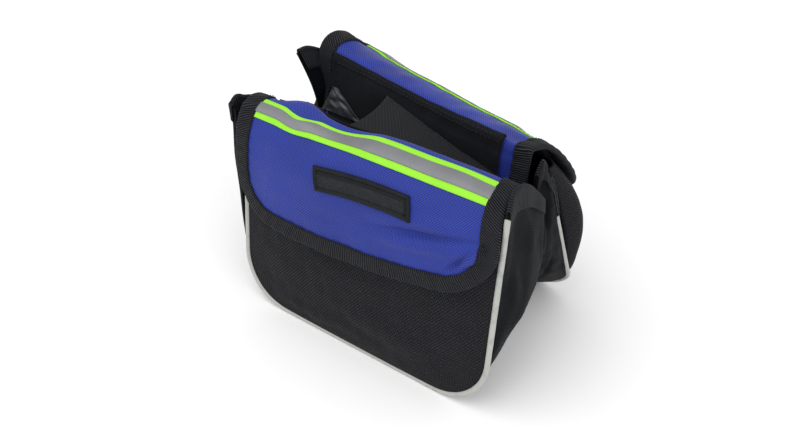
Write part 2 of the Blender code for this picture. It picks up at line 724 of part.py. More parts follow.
def main():
    for obj in list(bpy.data.objects):
        bpy.data.objects.remove(obj)
    collection = bpy.data.collections.new("bicycle_bag")
    bpy.context.scene.collection.children.link(collection)
    neon_height = CLOTH_WALL / 2 + LAYER_GAP + NEON_WALL / 2
    silver_height = neon_height + NEON_WALL / 2 + LAYER_GAP + SILVER_WALL / 2
    for side in ("front", "rear"):
        outer_panel(side, collection)
        gusset(side, collection)
        inner_panel(side, collection)
        piping(side, collection)
        flap(side, collection)
        binding(side, collection)
        tape(side, side + "_neon_tape", 0, 3, neon_height, NEON_WALL, "neon",
             TAPE_ROWS, collection)
        tape(side, side + "_silver_tape", 1, 2, silver_height, SILVER_WALL, "silver",
             TAPE_ROWS // 2, collection)
    label_patch(collection)
    saddle_panel(collection)
    tube_strap(collection)
    set_down(collection)


main()
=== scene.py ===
# Looks of the double bicycle bag: cloth, mesh, tapes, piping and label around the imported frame.
# Lengths are metres. A pouch has its own three directions: x along it, d inward from its bottom
# seam and z up. placeOn turns them into the frame's.

import math

import bpy
import numpy as np
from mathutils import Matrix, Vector


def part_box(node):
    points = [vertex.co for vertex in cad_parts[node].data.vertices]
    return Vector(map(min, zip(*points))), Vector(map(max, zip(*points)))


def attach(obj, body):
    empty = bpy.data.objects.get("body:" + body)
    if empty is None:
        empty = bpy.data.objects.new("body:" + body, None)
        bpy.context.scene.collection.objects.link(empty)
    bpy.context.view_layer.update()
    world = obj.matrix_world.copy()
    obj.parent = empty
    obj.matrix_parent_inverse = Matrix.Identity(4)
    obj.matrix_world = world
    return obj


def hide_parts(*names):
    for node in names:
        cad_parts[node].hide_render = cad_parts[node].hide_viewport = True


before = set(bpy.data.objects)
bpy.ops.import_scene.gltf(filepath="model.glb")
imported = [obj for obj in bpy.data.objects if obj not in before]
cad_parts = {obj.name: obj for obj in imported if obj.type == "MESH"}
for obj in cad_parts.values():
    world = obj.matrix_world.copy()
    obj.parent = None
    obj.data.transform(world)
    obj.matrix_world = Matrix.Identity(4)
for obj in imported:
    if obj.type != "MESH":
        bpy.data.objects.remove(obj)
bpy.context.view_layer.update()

bag = {
    "width": 0.180, "height": 0.140, "depth": 0.056, "valley": 0.100,
    "corner": 0.035, "innerRise": 0.047, "innerCorner": 0.030,
    "pinch": math.radians(4.53), "rearShift": -0.0143, "clearance": 0.0006,
    "seamTop": 0.83, "cloth": 0.0011, "gap": 0.0003, "seamRadius": 0.00175,
}
ways = {"front": 1.0, "rear": -1.0}     # the rear pouch is mirrored

# Values at the left end, the middle and the right end of each pouch. Depths are shares of the
# bag's depth, drops of its height and trims of its width.
pouchForm = {
    "front": {
        "lean": (0.10, 0.10, 0.10), "belly": (0.08, 0.14, 0.09), "crest": (0.40, 0.54, 0.56),
        "inner": (0.93, 1.00, 1.035), "drop": (0.020, 0.0, -0.012), "trim": (0.0, 0.0, 0.042),
        "trimLow": (0.0, 0.0, 0.010), "overhang": (0.02, 0.0, 0.02), "fullness": 3.2,
        "crown": 0.13, "bellyLow": 0.72,
    },
    "rear": {
        "lean": (0.24, 0.27, 0.34), "belly": (0.28, 0.31, 0.45), "crest": (0.91, 0.91, 0.91),
        "inner": (1.18, 1.10, 1.01), "drop": (-0.030, 0.010, 0.0), "trim": (0.078, 0.0, 0.040),
        "trimLow": (0.045, 0.0, 0.0), "overhang": (0.08, 0.0, 0.30), "fullness": 11.0,
        "crown": 0.18, "bellyLow": 1.15,
    },
}
# bellyLow under 1 sets the fullest part of the belly in the lower half. The panel's overhang
# starts at a share of half its width, and the flap clears it some overhangs further in.
overhangForm = {"from": 0.78, "reach": 1.5}

# The flap's section from below its free edge over the crest to the middle of the valley:
# shares of the crest's depth and of the height, then of the way and the drop to the valley.
flapForm = {
    "front": {
        "out": ((0.0, 0.33), (0.057, 0.45), (0.122, 0.58), (0.192, 0.72), (0.27, 0.84),
                (0.385, 0.92), (0.64, 0.982), (1.0, 1.0)),
        "down": ((0.12, 0.07), (0.21, 0.28), (0.36, 0.62), (0.62, 0.92), (1.0, 1.0)),
        "freeEdge": (0.515, 0.53, 0.62),
    },
    "rear": {
        "out": ((0.24, 0.28), (0.20, 0.39), (0.19, 0.51), (0.24, 0.64), (0.36, 0.77),
                (0.53, 0.89), (0.75, 0.97), (1.0, 1.0)),
        "down": ((0.28, 0.09), (0.45, 0.34), (0.55, 0.66), (0.75, 0.93), (1.0, 1.0)),
        "freeEdge": (0.50, 0.49, 0.62),
    },
}
# panelHalf is half the outer panel's wall, skin the flap with its binding down to the middle
flapTrim = {"overhang": 0.0010, "corner": 0.030, "clearance": 0.0006, "shoulder": 0.88,
            "crownFade": 0.22, "trimFrom": 2.5, "valleyEnd": 0.25, "panelHalf": 0.0007,
            "skin": 0.0023}
labelForm = {"x": 0.0030, "slant": 0.0022, "down": 0.0363, "length": 0.0640, "height": 0.0133,
             "arch": 0.0013, "tilt": -0.0020, "wall": 0.0012, "rim": 0.0011, "rimWidth": 0.0009,
             "groove": 0.0023, "grooveWidth": 0.0006, "raise": 0.0008, "roll": 0.0005}
bindingForm = {"width": 0.0092, "wall": 0.0008, "gap": 0.0004, "slack": 0.0006, "steps": 520,
               "stitchIn": 0.0012, "stitch": (0.0026, 0.0018, 0.00022)}
# A row of stitches is given by its step, a stitch's length and the thread's radius.


def smoothStep(t):
    # 3t^2 - 2t^3 between 0 and 1, flat outside
    t = np.clip(t, 0, 1)
    return t * t * (3 - 2 * t)


def hill(t):
    # (1 - t^2)^2 inside -1 to 1, zero outside
    return np.clip(1 - t * t, 0, None) ** 2


def ripple(a, b, seed, waves=7, longest=0.060, shortest=0.012):
    # sum of plane sine waves of seeded directions, phases and lengths, scaled to about -1 to 1
    draw = np.random.default_rng(seed)
    total = 0.0 * (a + b)
    for _ in range(waves):
        turn, phase = draw.uniform(0, math.pi), draw.uniform(0, 2 * math.pi)
        length = longest * (shortest / longest) ** draw.uniform(0, 1)
        run = a * math.cos(turn) + b * math.sin(turn)
        total = total + (length / longest) ** 0.5 * np.sin(2 * math.pi * run / length + phase)
    return total / waves ** 0.5


def unit(vectors):
    # vectors over their lengths
    return vectors / np.maximum(np.linalg.norm(vectors, axis=-1, keepdims=True), 1e-12)


def summed(steps):
    # running total that starts at 0
    return np.concatenate(([0], np.cumsum(steps)))


def byStation(values, x):
    # parabola through the left, middle and right values
    left, middle, right = values
    share = np.clip(x / (bag["width"] / 2), -1.15, 1.15)
    return middle + (right - left) / 2 * share + ((left + right) / 2 - middle) * share ** 2


def halfSpread():
    # half the distance between the pouches' planes at the floor
    deepest = max(pouchForm["front"]["inner"][2], pouchForm["rear"]["inner"][2]) * bag["depth"]
    return deepest + math.tan(bag["pinch"]) * bag["width"] / 2 + bag["clearance"]


def placeOn(side, x, d, z, shift=(0.0, 0.0, 0.0)):
    # a turn by the pinch about the foot line, mirrored for the rear pouch, then the shift
    way = ways[side]
    turn = way * bag["pinch"]
    start = 0.0 if side == "front" else bag["rearShift"]
    px = start + x * math.cos(turn) - way * d * math.sin(turn) + shift[0]
    py = -way * halfSpread() + x * math.sin(turn) + way * d * math.cos(turn) + shift[1]
    return np.stack(np.broadcast_arrays(px, py, z + shift[2]), axis=-1)


def of(side, column, x):
    # a measure of the pouch at x, along a curve through its values
    return byStation(pouchForm[side][column], x)


def bellyRise(side, z):
    # half a sine over the height, its top moved down by the exponent
    return np.sin(math.pi * np.clip(z / bag["height"], 0, 1) ** pouchForm[side]["bellyLow"])


def faceDepth(side, x, z):
    # the leaning seam line less the belly, which fades to the end seams with |x|^fullness
    across = np.clip(np.abs(x) / (bag["width"] / 2), 0, 1)
    swell = (1 - across ** pouchForm[side]["fullness"]) * bellyRise(side, z)
    return of(side, "lean", x) * z - of(side, "belly", x) * bag["depth"] * swell


def overhang(side, x, z):
    # how far the outer panel's ends stand out past the seam at height z
    return of(side, "overhang", x) * bag["depth"] * bellyRise(side, z)


def seamPath(width, foot, corner, top, run):
    # the U of a seam at shares run of its length: a side, a quarter circle, the bottom, and back
    sideRun = top - foot - corner
    arc = math.pi * corner / 2
    marks = summed([sideRun, arc, width - 2 * corner, arc, sideRun])
    at = run * marks[-1]
    turnLeft, turnRight = (at - marks[1]) / corner, (at - marks[3]) / corner
    spans = [at < mark for mark in marks[1:5]]
    half = width / 2
    x = np.select(spans, [-half + 0 * at, -half + corner - corner * np.cos(turnLeft),
                          -half + corner + at - marks[2],
                          half - corner + corner * np.sin(turnRight)], half)
    z = np.select(spans, [top - at, foot + corner - corner * np.sin(turnLeft), foot + 0 * at,
                          foot + corner - corner * np.cos(turnRight)], foot + corner + at - marks[4])
    return x, z


def seamPoint(side, run):
    # the outer seam at shares run of its length: x, distance out and height
    x, z = seamPath(bag["width"], 0.0, bag["corner"], bag["seamTop"] * bag["height"], run)
    return x, faceDepth(side, x, z), z


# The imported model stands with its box's bottom middle at the origin: the shift is read off the
# front piping, whose route both share.
route = placeOn("front", *seamPoint("front", np.linspace(0, 1, 37)))
pipingBox = np.array([corner[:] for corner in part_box("front_piping")])
frameShift = pipingBox.mean(0) - (route.min(0) + route.max(0)) / 2
frameShift[2] = pipingBox[0][2] + bag["seamRadius"] - route[:, 2].min()
print("shift of the frame, mm:", np.round(frameShift * 1000, 2))


def place(side, x, d, z):
    # placeOn with the frame's shift, so the pouches lie on the frame's pieces
    return placeOn(side, x, d, z, frameShift)


def lift(surface, a, b, height, stepA, stepB, way=1.0):
    # surface plus height times its unit normal, from the cross product of two small steps
    alongA = surface(a + stepA, b) - surface(a - stepA, b)
    alongB = surface(a, b + stepB) - surface(a, b - stepB)
    return surface(a, b) + way * np.asarray(height)[..., None] * unit(np.cross(alongA, alongB))


def halfWidth(z, width, foot, corner):
    # half the width of a U with quarter circle corners at height z
    low = np.clip(foot + corner - z, 0, corner)
    return width / 2 - corner + np.sqrt(corner ** 2 - low ** 2)


# Meshes

def setMesh(name, points, faces, uvs, smooth=True):
    # a smooth mesh from its points, quads and UVs in metres
    mesh = bpy.data.meshes.new(name)
    mesh.vertices.add(len(points))
    mesh.vertices.foreach_set("co", points.astype(np.float32).ravel())
    mesh.loops.add(faces.size)
    mesh.loops.foreach_set("vertex_index", faces.ravel().astype(np.int32))
    mesh.polygons.add(len(faces))
    mesh.polygons.foreach_set("loop_start", np.arange(len(faces), dtype=np.int32) * faces.shape[1])
    layer = mesh.uv_layers.new(name="clothUv")
    layer.data.foreach_set("uv", uvs[faces.ravel()].astype(np.float32).ravel())
    mesh.update(calc_edges=True)
    mesh.validate()
    if smooth:
        mesh.shade_smooth()
    obj = bpy.data.objects.new(name, mesh)
    bpy.context.scene.collection.objects.link(obj)
    return obj


def runLengths(points, axis):
    # mean distance from the grid's first line to each later one
    return summed(np.linalg.norm(np.diff(points, axis=axis), axis=-1).mean(1 - axis))


def clothMesh(name, points, wall):
    # two skins half a wall to each side of the grid along its normals, closed by a rim
    rows, columns = points.shape[:2]
    count = rows * columns
    skin = unit(np.cross(np.gradient(points, axis=1), np.gradient(points, axis=0))) * wall / 2
    index = np.arange(count).reshape(rows, columns)
    quads = np.stack([index[:-1, :-1], index[:-1, 1:], index[1:, 1:], index[1:, :-1]], -1)
    quads = quads.reshape(-1, 4)
    border = np.concatenate([index[0, :], index[1:, -1], index[-1, -2::-1], index[-2:0:-1, 0]])
    after = np.roll(border, -1)
    rim = np.stack([border + count, after + count, after, border], -1)
    flat = np.stack(np.meshgrid(runLengths(points, 1), runLengths(points, 0)), -1).reshape(-1, 2)
    return setMesh(name, np.concatenate([points + skin, points - skin]).reshape(-1, 3),
                   np.concatenate([quads, quads[:, ::-1] + count, rim]), np.tile(flat, (2, 1)))


def gridCloth(name, surface, columns, rows, wall):
    # surface(u, v) for u and v from -1 to 1 on an even grid
    u, v = np.meshgrid(np.linspace(-1, 1, columns + 1), np.linspace(-1, 1, rows + 1))
    return clothMesh(name, surface(u, v), wall)


def ringPoints(path, across, up, radius, angle):
    # a circle of points round each point of a path, in the plane of across and up
    turn = angle[:, None]
    circle = np.cos(turn) * across[..., None, :] + np.sin(turn) * up[..., None, :]
    return path[..., None, :] + radius[..., None, None] * circle


def ringFaces(count, sides):
    # vertex numbers of the rings, and the quads between each ring and the next
    index = np.arange(count * sides).reshape(count, sides)
    after = np.roll(index, -1, axis=1)
    return index, np.stack([index[:-1], after[:-1], after[1:], index[1:]], -1).reshape(-1, 4)


def tubeMesh(name, path, radius, sides):
    # rings of a circle along the path, square to it, with both ends closed by a fan of quads
    along = unit(np.gradient(path, axis=0))
    across = unit(np.cross(along, (0.13, 0.97, 0.21)))
    angle = np.linspace(0, 2 * math.pi, sides, endpoint=False)
    points = ringPoints(path, across, np.cross(across, along), radius, angle)
    index, faces = ringFaces(len(path), sides)
    tips = [path[0] - along[0] * radius[0] * 0.4, path[-1] + along[-1] * radius[-1] * 0.4]
    half = np.arange(0, sides, 2)
    after = (half + 2) % sides
    low = np.stack([index[0, half], 0 * half + index.size, index[0, after], index[0, half + 1]], -1)
    high = np.stack([index[-1, half], index[-1, half + 1], index[-1, after],
                     0 * half + index.size + 1], -1)
    run = summed(np.linalg.norm(np.diff(path, axis=0), axis=1))
    uvs = np.stack(np.meshgrid(angle * radius.mean(), run), -1).reshape(-1, 2)
    return setMesh(name, np.concatenate([points.reshape(-1, 3), tips]),
                   np.concatenate([faces, low, high]), np.concatenate([uvs, [[0, 0], [0, run[-1]]]]))


def stitchRow(name, lineAt, form, look):
    # short arcs of thread at even steps along a line, each dipping into the cloth at both ends;
    # lineAt(height) gives the line that height above where it lies
    step, length, radius = form
    points = lineAt(0.0)
    run = summed(np.linalg.norm(np.diff(points, axis=0), axis=1))
    starts = np.arange(step, run[-1] - length, step)
    count, sides = 5, 6
    share = np.linspace(0, 1, count)
    at = starts[:, None] + share * length
    line, normal = (np.stack([np.interp(at, run, column) for column in values.T], -1)
                    for values in (points, lineAt(0.001) - points))
    normal = unit(normal)
    line = line + normal * (radius * 1.9 * np.sin(math.pi * share) - radius * 0.8)[:, None]
    ahead = unit(np.gradient(line, axis=1))
    across = np.cross(ahead, normal)
    thick = radius * (0.55 + 0.45 * np.sin(math.pi * share))
    angle = np.linspace(0, 2 * math.pi, sides, endpoint=False)
    grid = ringPoints(line, across, np.cross(across, ahead), thick, angle).reshape(-1, 3)
    index, body = ringFaces(count, sides)
    caps = np.array([[0, 3, 2, 1], [0, 5, 4, 3]])
    one = np.concatenate([body, caps, caps[:, ::-1] + index.size - sides])
    faces = (one + np.arange(len(starts))[:, None, None] * index.size).reshape(-1, 4)
    dress(setMesh(name, grid, faces, np.zeros((len(grid), 2))), look)


# Shader nodes

def nodeOperator(operation, mirrored=False):
    # the operator of that Math node, mirrored when the wire is on the right
    def method(self, other):
        return self.book.maths(operation, *((other, self) if mirrored else (self, other)))

    return method


class Wire:
    # a socket: a sum, difference, product or power with it adds a Math node
    def __init__(self, book, socket):
        self.book, self.socket = book, socket

    __add__, __radd__ = nodeOperator("ADD"), nodeOperator("ADD", True)
    __sub__, __rsub__ = nodeOperator("SUBTRACT"), nodeOperator("SUBTRACT", True)
    __mul__, __rmul__ = nodeOperator("MULTIPLY"), nodeOperator("MULTIPLY", True)
    __pow__, __rpow__ = nodeOperator("POWER"), nodeOperator("POWER", True)


class ShaderBook:
    # one material's nodes; constant values go on the Principled shader's own sockets
    def __init__(self, name, **constants):
        self.material = bpy.data.materials.new(name)
        self.material.use_nodes = True
        self.tree = self.material.node_tree
        self.shader = self.tree.nodes["Principled BSDF"]
        for socket, value in constants.items():
            self.shader.inputs[socket.replace("_", " ")].default_value = value

    def plug(self, socket, value):
        if isinstance(value, Wire):
            self.tree.links.new(value.socket, socket)
        else:
            socket.default_value = value

    def node(self, kind, settings, values, output=0):
        # any node: its settings first, then the values or links of its sockets by name or number
        made = self.tree.nodes.new("ShaderNode" + kind)
        for key, value in settings.items():
            setattr(made, key, value)
        for key, value in values.items():
            self.plug(made.inputs[key], value)
        return Wire(self, made.outputs[output])

    def maths(self, operation, *values):
        return self.node("Math", {"operation": operation}, dict(enumerate(values)))

    def blend(self, share, first, second):
        # a colour between two colours
        return self.node("Mix", {"data_type": "RGBA"}, {0: share, 6: (*first, 1), 7: (*second, 1)}, 2)

    def clothAxes(self):
        # the piece's own UV map, in metres along and across the cloth
        uv = self.node("UVMap", {"uv_map": "clothUv"}, {})
        along = self.node("SeparateXYZ", {}, {0: uv})
        return along, Wire(self, along.socket.node.outputs[1]), uv

    def objectPlace(self):
        return self.node("TexCoord", {}, {}, 3)

    def noise(self, vector, scale, detail=2.0, roughness=0.5):
        return self.node("TexNoise", {}, {"Vector": vector, "Scale": scale, "Detail": detail,
                                          "Roughness": roughness})

    def wave(self, distance, pitch):
        # a sine from 0 to 1 with the given pitch
        return self.maths("SINE", distance * (2 * math.pi / pitch)) * 0.5 + 0.5

    def soft(self, value, low, high):
        # smooth step between low and high
        return self.node("MapRange", {"interpolation_type": "SMOOTHSTEP"},
                         dict(enumerate((value, low, high, 0.0, 1.0))))

    def finish(self, colour, roughness, *bump):
        # what varies over the surface; bump is a height, its strength and its depth in metres
        self.plug(self.shader.inputs["Base Color"], colour)
        self.plug(self.shader.inputs["Roughness"], roughness)
        if bump:
            normal = self.node("Bump", {}, dict(zip(("Height", "Strength", "Distance"), bump)))
            self.plug(self.shader.inputs["Normal"], normal)
        return self.material


def blueCloth():
    # oxford weave: two slanted sets of threads that take turns on top, with faint yarn streaks
    look = {"deep": (0.0035, 0.0085, 0.085), "bright": (0.027, 0.055, 0.42), "pitch": 0.00120,
            "slant": 0.707}
    book = ShaderBook("blueOxford", Specular_IOR_Level=0.3, Sheen_Weight=0.10, Sheen_Roughness=0.4)
    along, across, uv = book.clothAxes()
    first = book.wave(along * look["slant"] - across * look["slant"], look["pitch"])
    second = book.wave(along * look["slant"] + across * look["slant"], look["pitch"] * 1.3)
    threads = first * 0.72 + second * 0.28
    streak = book.noise(uv, 1400.0, 1.0)
    cloud = book.noise(book.objectPlace(), 26.0, 3.0)
    colour = book.blend(threads * 0.75 + streak * 0.30 + cloud * 0.35 - 0.25, look["deep"],
                        look["bright"])
    return book.finish(colour, 0.52 + cloud * 0.16 + (1 - threads) * 0.10,
                       threads + streak * 0.25, 0.55, 0.00022)


def blackNylon(name, dark, light, pitch, roughness, sheen, depth):
    # plain weave with soft folds from wide noise; the same noise paints shade into the colour in the
    # folds' hollows and a highlight on their ridges
    book = ShaderBook(name, Sheen_Weight=sheen, Sheen_Roughness=0.35, Specular_IOR_Level=0.09)
    along, across, uv = book.clothAxes()
    weave = book.wave(along, pitch) * book.wave(across, pitch)
    creaseAndShade = book.noise(book.objectPlace(), 60.0, 4.0, 0.6)
    dust = book.noise(uv, 700.0, 3.0, 0.7)
    # painted shade and highlight: the colour is darker in the hollows of the fold noise and lighter on
    # its ridges
    colour = book.blend(weave * 0.45 + creaseAndShade * 0.35 + dust * 0.70 - 0.35, dark, light)
    return book.finish(colour, roughness + creaseAndShade * 0.2,
                       weave * 0.8 + creaseAndShade * 1.8 + dust * 0.5, 0.8, depth)


def meshFabric():
    # knitted open mesh: rows of holes in a slanted lattice, with small bright flecks
    look = {"pitch": 0.0019, "slant": 0.76}
    book = ShaderBook("coarseMesh", Specular_IOR_Level=0.15)
    along, across, uv = book.clothAxes()
    holes = book.wave(along + across * look["slant"], look["pitch"]) * book.wave(
        along - across * look["slant"], look["pitch"])
    yarn = book.soft(holes, 0.18, 0.55)
    fleck = book.noise(uv, 950.0, 2.0, 0.7)
    cloud = book.noise(book.objectPlace(), 22.0, 2.0)
    bright = book.soft(fleck, 0.52, 0.72) * (1 - yarn) * (0.5 + cloud)
    colour = book.blend(bright * 0.8 + (1 - yarn) * 0.25, (0.0018, 0.0019, 0.0028),
                        (0.036, 0.036, 0.045))
    return book.finish(colour, 0.62 + yarn * 0.25, (1 - yarn) + fleck * 0.4, 0.9, 0.00055)


def ribbedTape():
    # cross ribs along the tape, with worn rib tops
    book = ShaderBook("ribbedTape", Specular_IOR_Level=0.16)
    along, across, _ = book.clothAxes()
    ribs = book.wave(along, 0.00140)
    yarn = book.wave(across, 0.0008)
    worn = book.noise(book.objectPlace(), 130.0, 3.0)
    shade = ribs ** 2.0 * (0.30 + worn * 0.80) + yarn * ribs * 0.25 - 0.08
    colour = book.blend(shade, (0.0010, 0.0011, 0.0016), (0.046, 0.048, 0.058))
    return book.finish(colour, 0.58 + worn * 0.2, ribs + yarn * 0.25, 1.0, 0.00045)


def twillTape():
    # steep slanted ribs of the strap's back
    book = ShaderBook("twillStrap", Specular_IOR_Level=0.3, Sheen_Weight=0.05, Sheen_Roughness=0.4)
    along, across, _ = book.clothAxes()
    ribs = book.wave(along * 0.62 + across, 0.0017)
    fine = book.wave(along, 0.0006)
    dust = book.noise(book.objectPlace(), 300.0, 3.0)
    colour = book.blend(ribs * 0.6 + dust * 0.35 + fine * 0.1 - 0.05, (0.0014, 0.0016, 0.0024),
                        (0.0125, 0.0135, 0.0175))
    return book.finish(colour, 0.6 + dust * 0.15, ribs + fine * 0.3, 0.9, 0.00035)


def vinylPiping():
    # pale cord cover with handling marks
    book = ShaderBook("palePiping", Specular_IOR_Level=0.4)
    place = book.objectPlace()
    marks = book.noise(place, 210.0, 4.0, 0.65)
    cloud = book.noise(place, 35.0, 2.0)
    grime = book.soft(marks * 0.6 + cloud * 0.4, 0.50, 0.74)
    colour = book.blend(grime, (0.40, 0.40, 0.375), (0.27, 0.27, 0.26))
    return book.finish(colour, 0.42 + grime * 0.25, marks, 0.15, 0.0003)


def neonTape():
    # fine plain weave, cloudy where it is handled
    book = ShaderBook("neonTape", Specular_IOR_Level=0.3)
    along, across, _ = book.clothAxes()
    weave = book.wave(along, 0.0007) * book.wave(across, 0.0007)
    cloud = book.noise(book.objectPlace(), 90.0, 3.0)
    colour = book.blend(weave * 0.3 + cloud * 0.5, (0.32, 0.75, 0.030), (0.20, 0.60, 0.020))
    return book.finish(colour, 0.5 + cloud * 0.15, weave, 0.4, 0.00015)


def silverTape():
    # glass-bead reflector: even grey with a fine grain and faint cross scuffs
    book = ShaderBook("silverReflector", Metallic=0.35)
    place = book.objectPlace()
    grain = book.noise(place, 2600.0, 2.0)
    scuff = book.noise(place, 75.0, 5.0, 0.7)
    colour = book.blend(scuff * 0.6 + grain * 0.3, (0.118, 0.121, 0.128), (0.245, 0.250, 0.262))
    return book.finish(colour, 0.36 + scuff * 0.2, grain, 0.25, 0.0001)


def rubberPatch():
    # smooth dark border round a mottled inner field, told apart by the distance to the edge
    book = ShaderBook("patchRubber", Specular_IOR_Level=0.18)
    along, across, _ = book.clothAxes()
    place = book.objectPlace()
    nearEnd = book.maths("MINIMUM", along, labelForm["length"] - along)
    nearSide = book.maths("MINIMUM", across, labelForm["height"] - across)
    field = book.soft(book.maths("MINIMUM", nearEnd, nearSide), 0.0020, 0.0026)
    pebble = book.noise(place, 1500.0, 4.0, 0.7)
    blotch = book.soft(pebble, 0.36, 0.64)
    plain = book.noise(place, 150.0, 3.0)
    shade = field * (blotch * 0.60 + plain * 0.35) + (1 - field) * plain * 0.25
    colour = book.blend(shade, (0.0016, 0.0020, 0.0026), (0.030, 0.036, 0.040))
    return book.finish(colour, 0.42 + pebble * 0.25, blotch * field, 0.7, 0.0004)


def coatedLining():
    # film on the back of the cloth: dark, with broken gloss; its colour has painted shade in the
    # crumples' hollows and a painted highlight on their tops
    book = ShaderBook("coatedLining", Specular_IOR_Level=0.6)
    crumpleAndShade = book.noise(book.objectPlace(), 150.0, 5.0, 0.6)
    # painted shade and highlight: the colour is darker in the hollows of the crumple noise and lighter
    # on its tops
    colour = book.blend(crumpleAndShade, (0.006, 0.0068, 0.0082), (0.030, 0.033, 0.039))
    return book.finish(colour, 0.22 + crumpleAndShade * 0.25, crumpleAndShade, 0.8, 0.0012)


def threadLook(name, dark, light):
    # thread with a fine twist from noise
    book = ShaderBook(name, Specular_IOR_Level=0.3)
    twist = book.noise(book.objectPlace(), 2200.0, 2.0)
    return book.finish(book.blend(twist, dark, light), 0.6)


looks = {
    "blue": blueCloth(),
    "nylon": blackNylon("coatedNylon", (0.0004, 0.0007, 0.0015), (0.0066, 0.0082, 0.0128),
                        pitch=0.0010, roughness=0.50, sheen=0.0, depth=0.0007),
    "saddle": blackNylon("saddleCloth", (0.0026, 0.0030, 0.0041), (0.018, 0.0192, 0.0250),
                         pitch=0.0008, roughness=0.60, sheen=0.05, depth=0.0003),
    "mesh": meshFabric(),
    "binding": ribbedTape(),
    "strap": twillTape(),
    "piping": vinylPiping(),
    "neon": neonTape(),
    "silver": silverTape(),
    "rubber": rubberPatch(),
    "lining": coatedLining(),
    "blackThread": threadLook("blackThread", (0.008, 0.008, 0.010), (0.024, 0.025, 0.030)),
    "greenThread": threadLook("greenThread", (0.30, 0.70, 0.05), (0.45, 0.90, 0.12)),
}
print("materials made")


def dress(obj, look, replaced=()):
    # gives a piece its finish and its place in the frame, and hides the frame's parts it replaces
    obj.data.materials.append(looks[look])
    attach(obj, "root")
    if replaced:
        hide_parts(*replaced)


# The flap's cloth

def foldControls(side, x):
    # the section's controls at x: outside, over the crest and down into the valley, where the
    # last ones mirror those before the middle; below the shoulder it clears what it hangs over
    form, fold = pouchForm[side], flapForm[side]
    crest = of(side, "crest", x) * bag["depth"]
    top = bag["height"] * (1 - of(side, "drop", x))
    bow = form["crown"] * bag["depth"] * (1 - np.abs(x / (bag["width"] / 2)) ** 3)
    depths, heights = [], []
    for share, up in fold["out"]:
        height = up * top
        depth = share * crest - bow * min(1.0, (1 - up) / flapTrim["crownFade"])
        if up < flapTrim["shoulder"]:
            full = x - np.sign(x) * overhangForm["reach"] * overhang(side, x, height)
            clear = faceDepth(side, full, height) - flapTrim["panelHalf"]
            seam = of(side, "lean", x) * height - bag["seamRadius"]
            skin = flapTrim["skin"] + flapTrim["clearance"]
            depth = np.minimum(depth, np.minimum(clear, seam) - skin)
        depths.append(depth)
        heights.append(height)
    middle = halfSpread() / math.cos(bag["pinch"]) - math.tan(bag["pinch"]) * x
    for share, down in fold["down"]:
        depths.append(crest + share * (middle - crest))
        heights.append(top - down * (top - bag["valley"]))
    depths.append(2 * middle - depths[-2])
    heights.append(heights[-2])
    return np.array(depths), np.array(heights)


def spline(controls, at):
    # Catmull-Rom curve through controls numbered 0, 1, 2 and so on
    count = len(controls)
    low = np.clip(np.floor(at).astype(int), 0, count - 2)
    f = at - low

    def pick(index):
        return np.take_along_axis(controls, np.clip(index, 0, count - 1)[None], axis=0)[0]

    a, b, c, d = pick(low - 1), pick(low), pick(low + 1), pick(low + 2)
    return 0.5 * (2 * b + (c - a) * f + (2 * a - 5 * b + 4 * c - d) * f ** 2
                  + (3 * b - a - 3 * c + d) * f ** 3)


crestAt = len(flapForm["front"]["out"]) - 1
floorAt = crestAt + len(flapForm["front"]["down"])


def sectionRuler(side):
    # control numbers and the lengths from the crest to them, outward positive, mid-section
    depths, heights = foldControls(side, np.zeros(1))
    fine = np.linspace(0, len(depths) - 1, 1201)
    d = spline(np.repeat(depths, fine.size, axis=1), fine)
    z = spline(np.repeat(heights, fine.size, axis=1), fine)
    run = summed(np.hypot(np.diff(d), np.diff(z)))
    return fine, np.interp(crestAt, fine, run) - run


rulers = {side: sectionRuler(side) for side in ways}


def atOf(side, s):
    # control number at length s from the crest
    fine, outward = rulers[side]
    return np.interp(s, outward[::-1], fine[::-1])


def lengthOf(side, at):
    # length from the crest at a control number, the inverse of atOf
    fine, outward = rulers[side]
    return np.interp(at, fine, outward)


# Hills and dents of the cloth: place along the pouch and down from the crest, reach each way,
# turn of the long axis in degrees, and height, all in millimetres but the turn.
flapFolds = {
    "front": (
        (-60, -7, 19, 9, 0, 4.2), (-50, 4, 12, 7, 10, -1.4), (-25, 3, 26, 24, 0, -3.8),
        (46, 46, 46, 4.0, -11, -3.3), (44, 39, 46, 6.0, -11, 1.2), (46, 53, 42, 5.5, -9, 1.7),
        (76, 49, 12, 3.6, -48, 3.0), (68, 55, 13, 3.2, -50, -2.4), (60, 16, 26, 12, 10, 1.0),
        (-30, 40, 34, 14, -12, 0.9), (-72, 42, 12, 22, 0, -0.9), (-12, 60, 30, 7, -5, -0.6),
        (10, -8, 30, 5, 0, 0.6),
    ),
    "rear": (
        (-80, 1, 24, 26, 0, 4.2), (-60, 34, 30, 14, 10, 1.6), (30, 46, 34, 16, -14, 1.8),
        (66, 30, 14, 20, 0, -1.6), (-20, 56, 30, 10, 8, -1.2), (30, -10, 60, 4.5, 0, -0.9),
        (-30, -2, 34, 12, 0, -1.2), (70, 4, 14, 10, 0, -1.4),
    ),
}


def foldHeight(x, s, folds):
    # sum of elliptic hills, each turned and scaled
    total = 0.0 * (x + s)
    for along, down, reach, width, turn, height in folds:
        a, b = x - along / 1000, s - down / 1000
        c, n = math.cos(math.radians(turn)), math.sin(math.radians(turn))
        p, q = (a * c + b * n) / (reach / 1000), (b * c - a * n) / (width / 1000)
        total = total + height / 1000 * hill(np.sqrt(p * p + q * q))
    return total


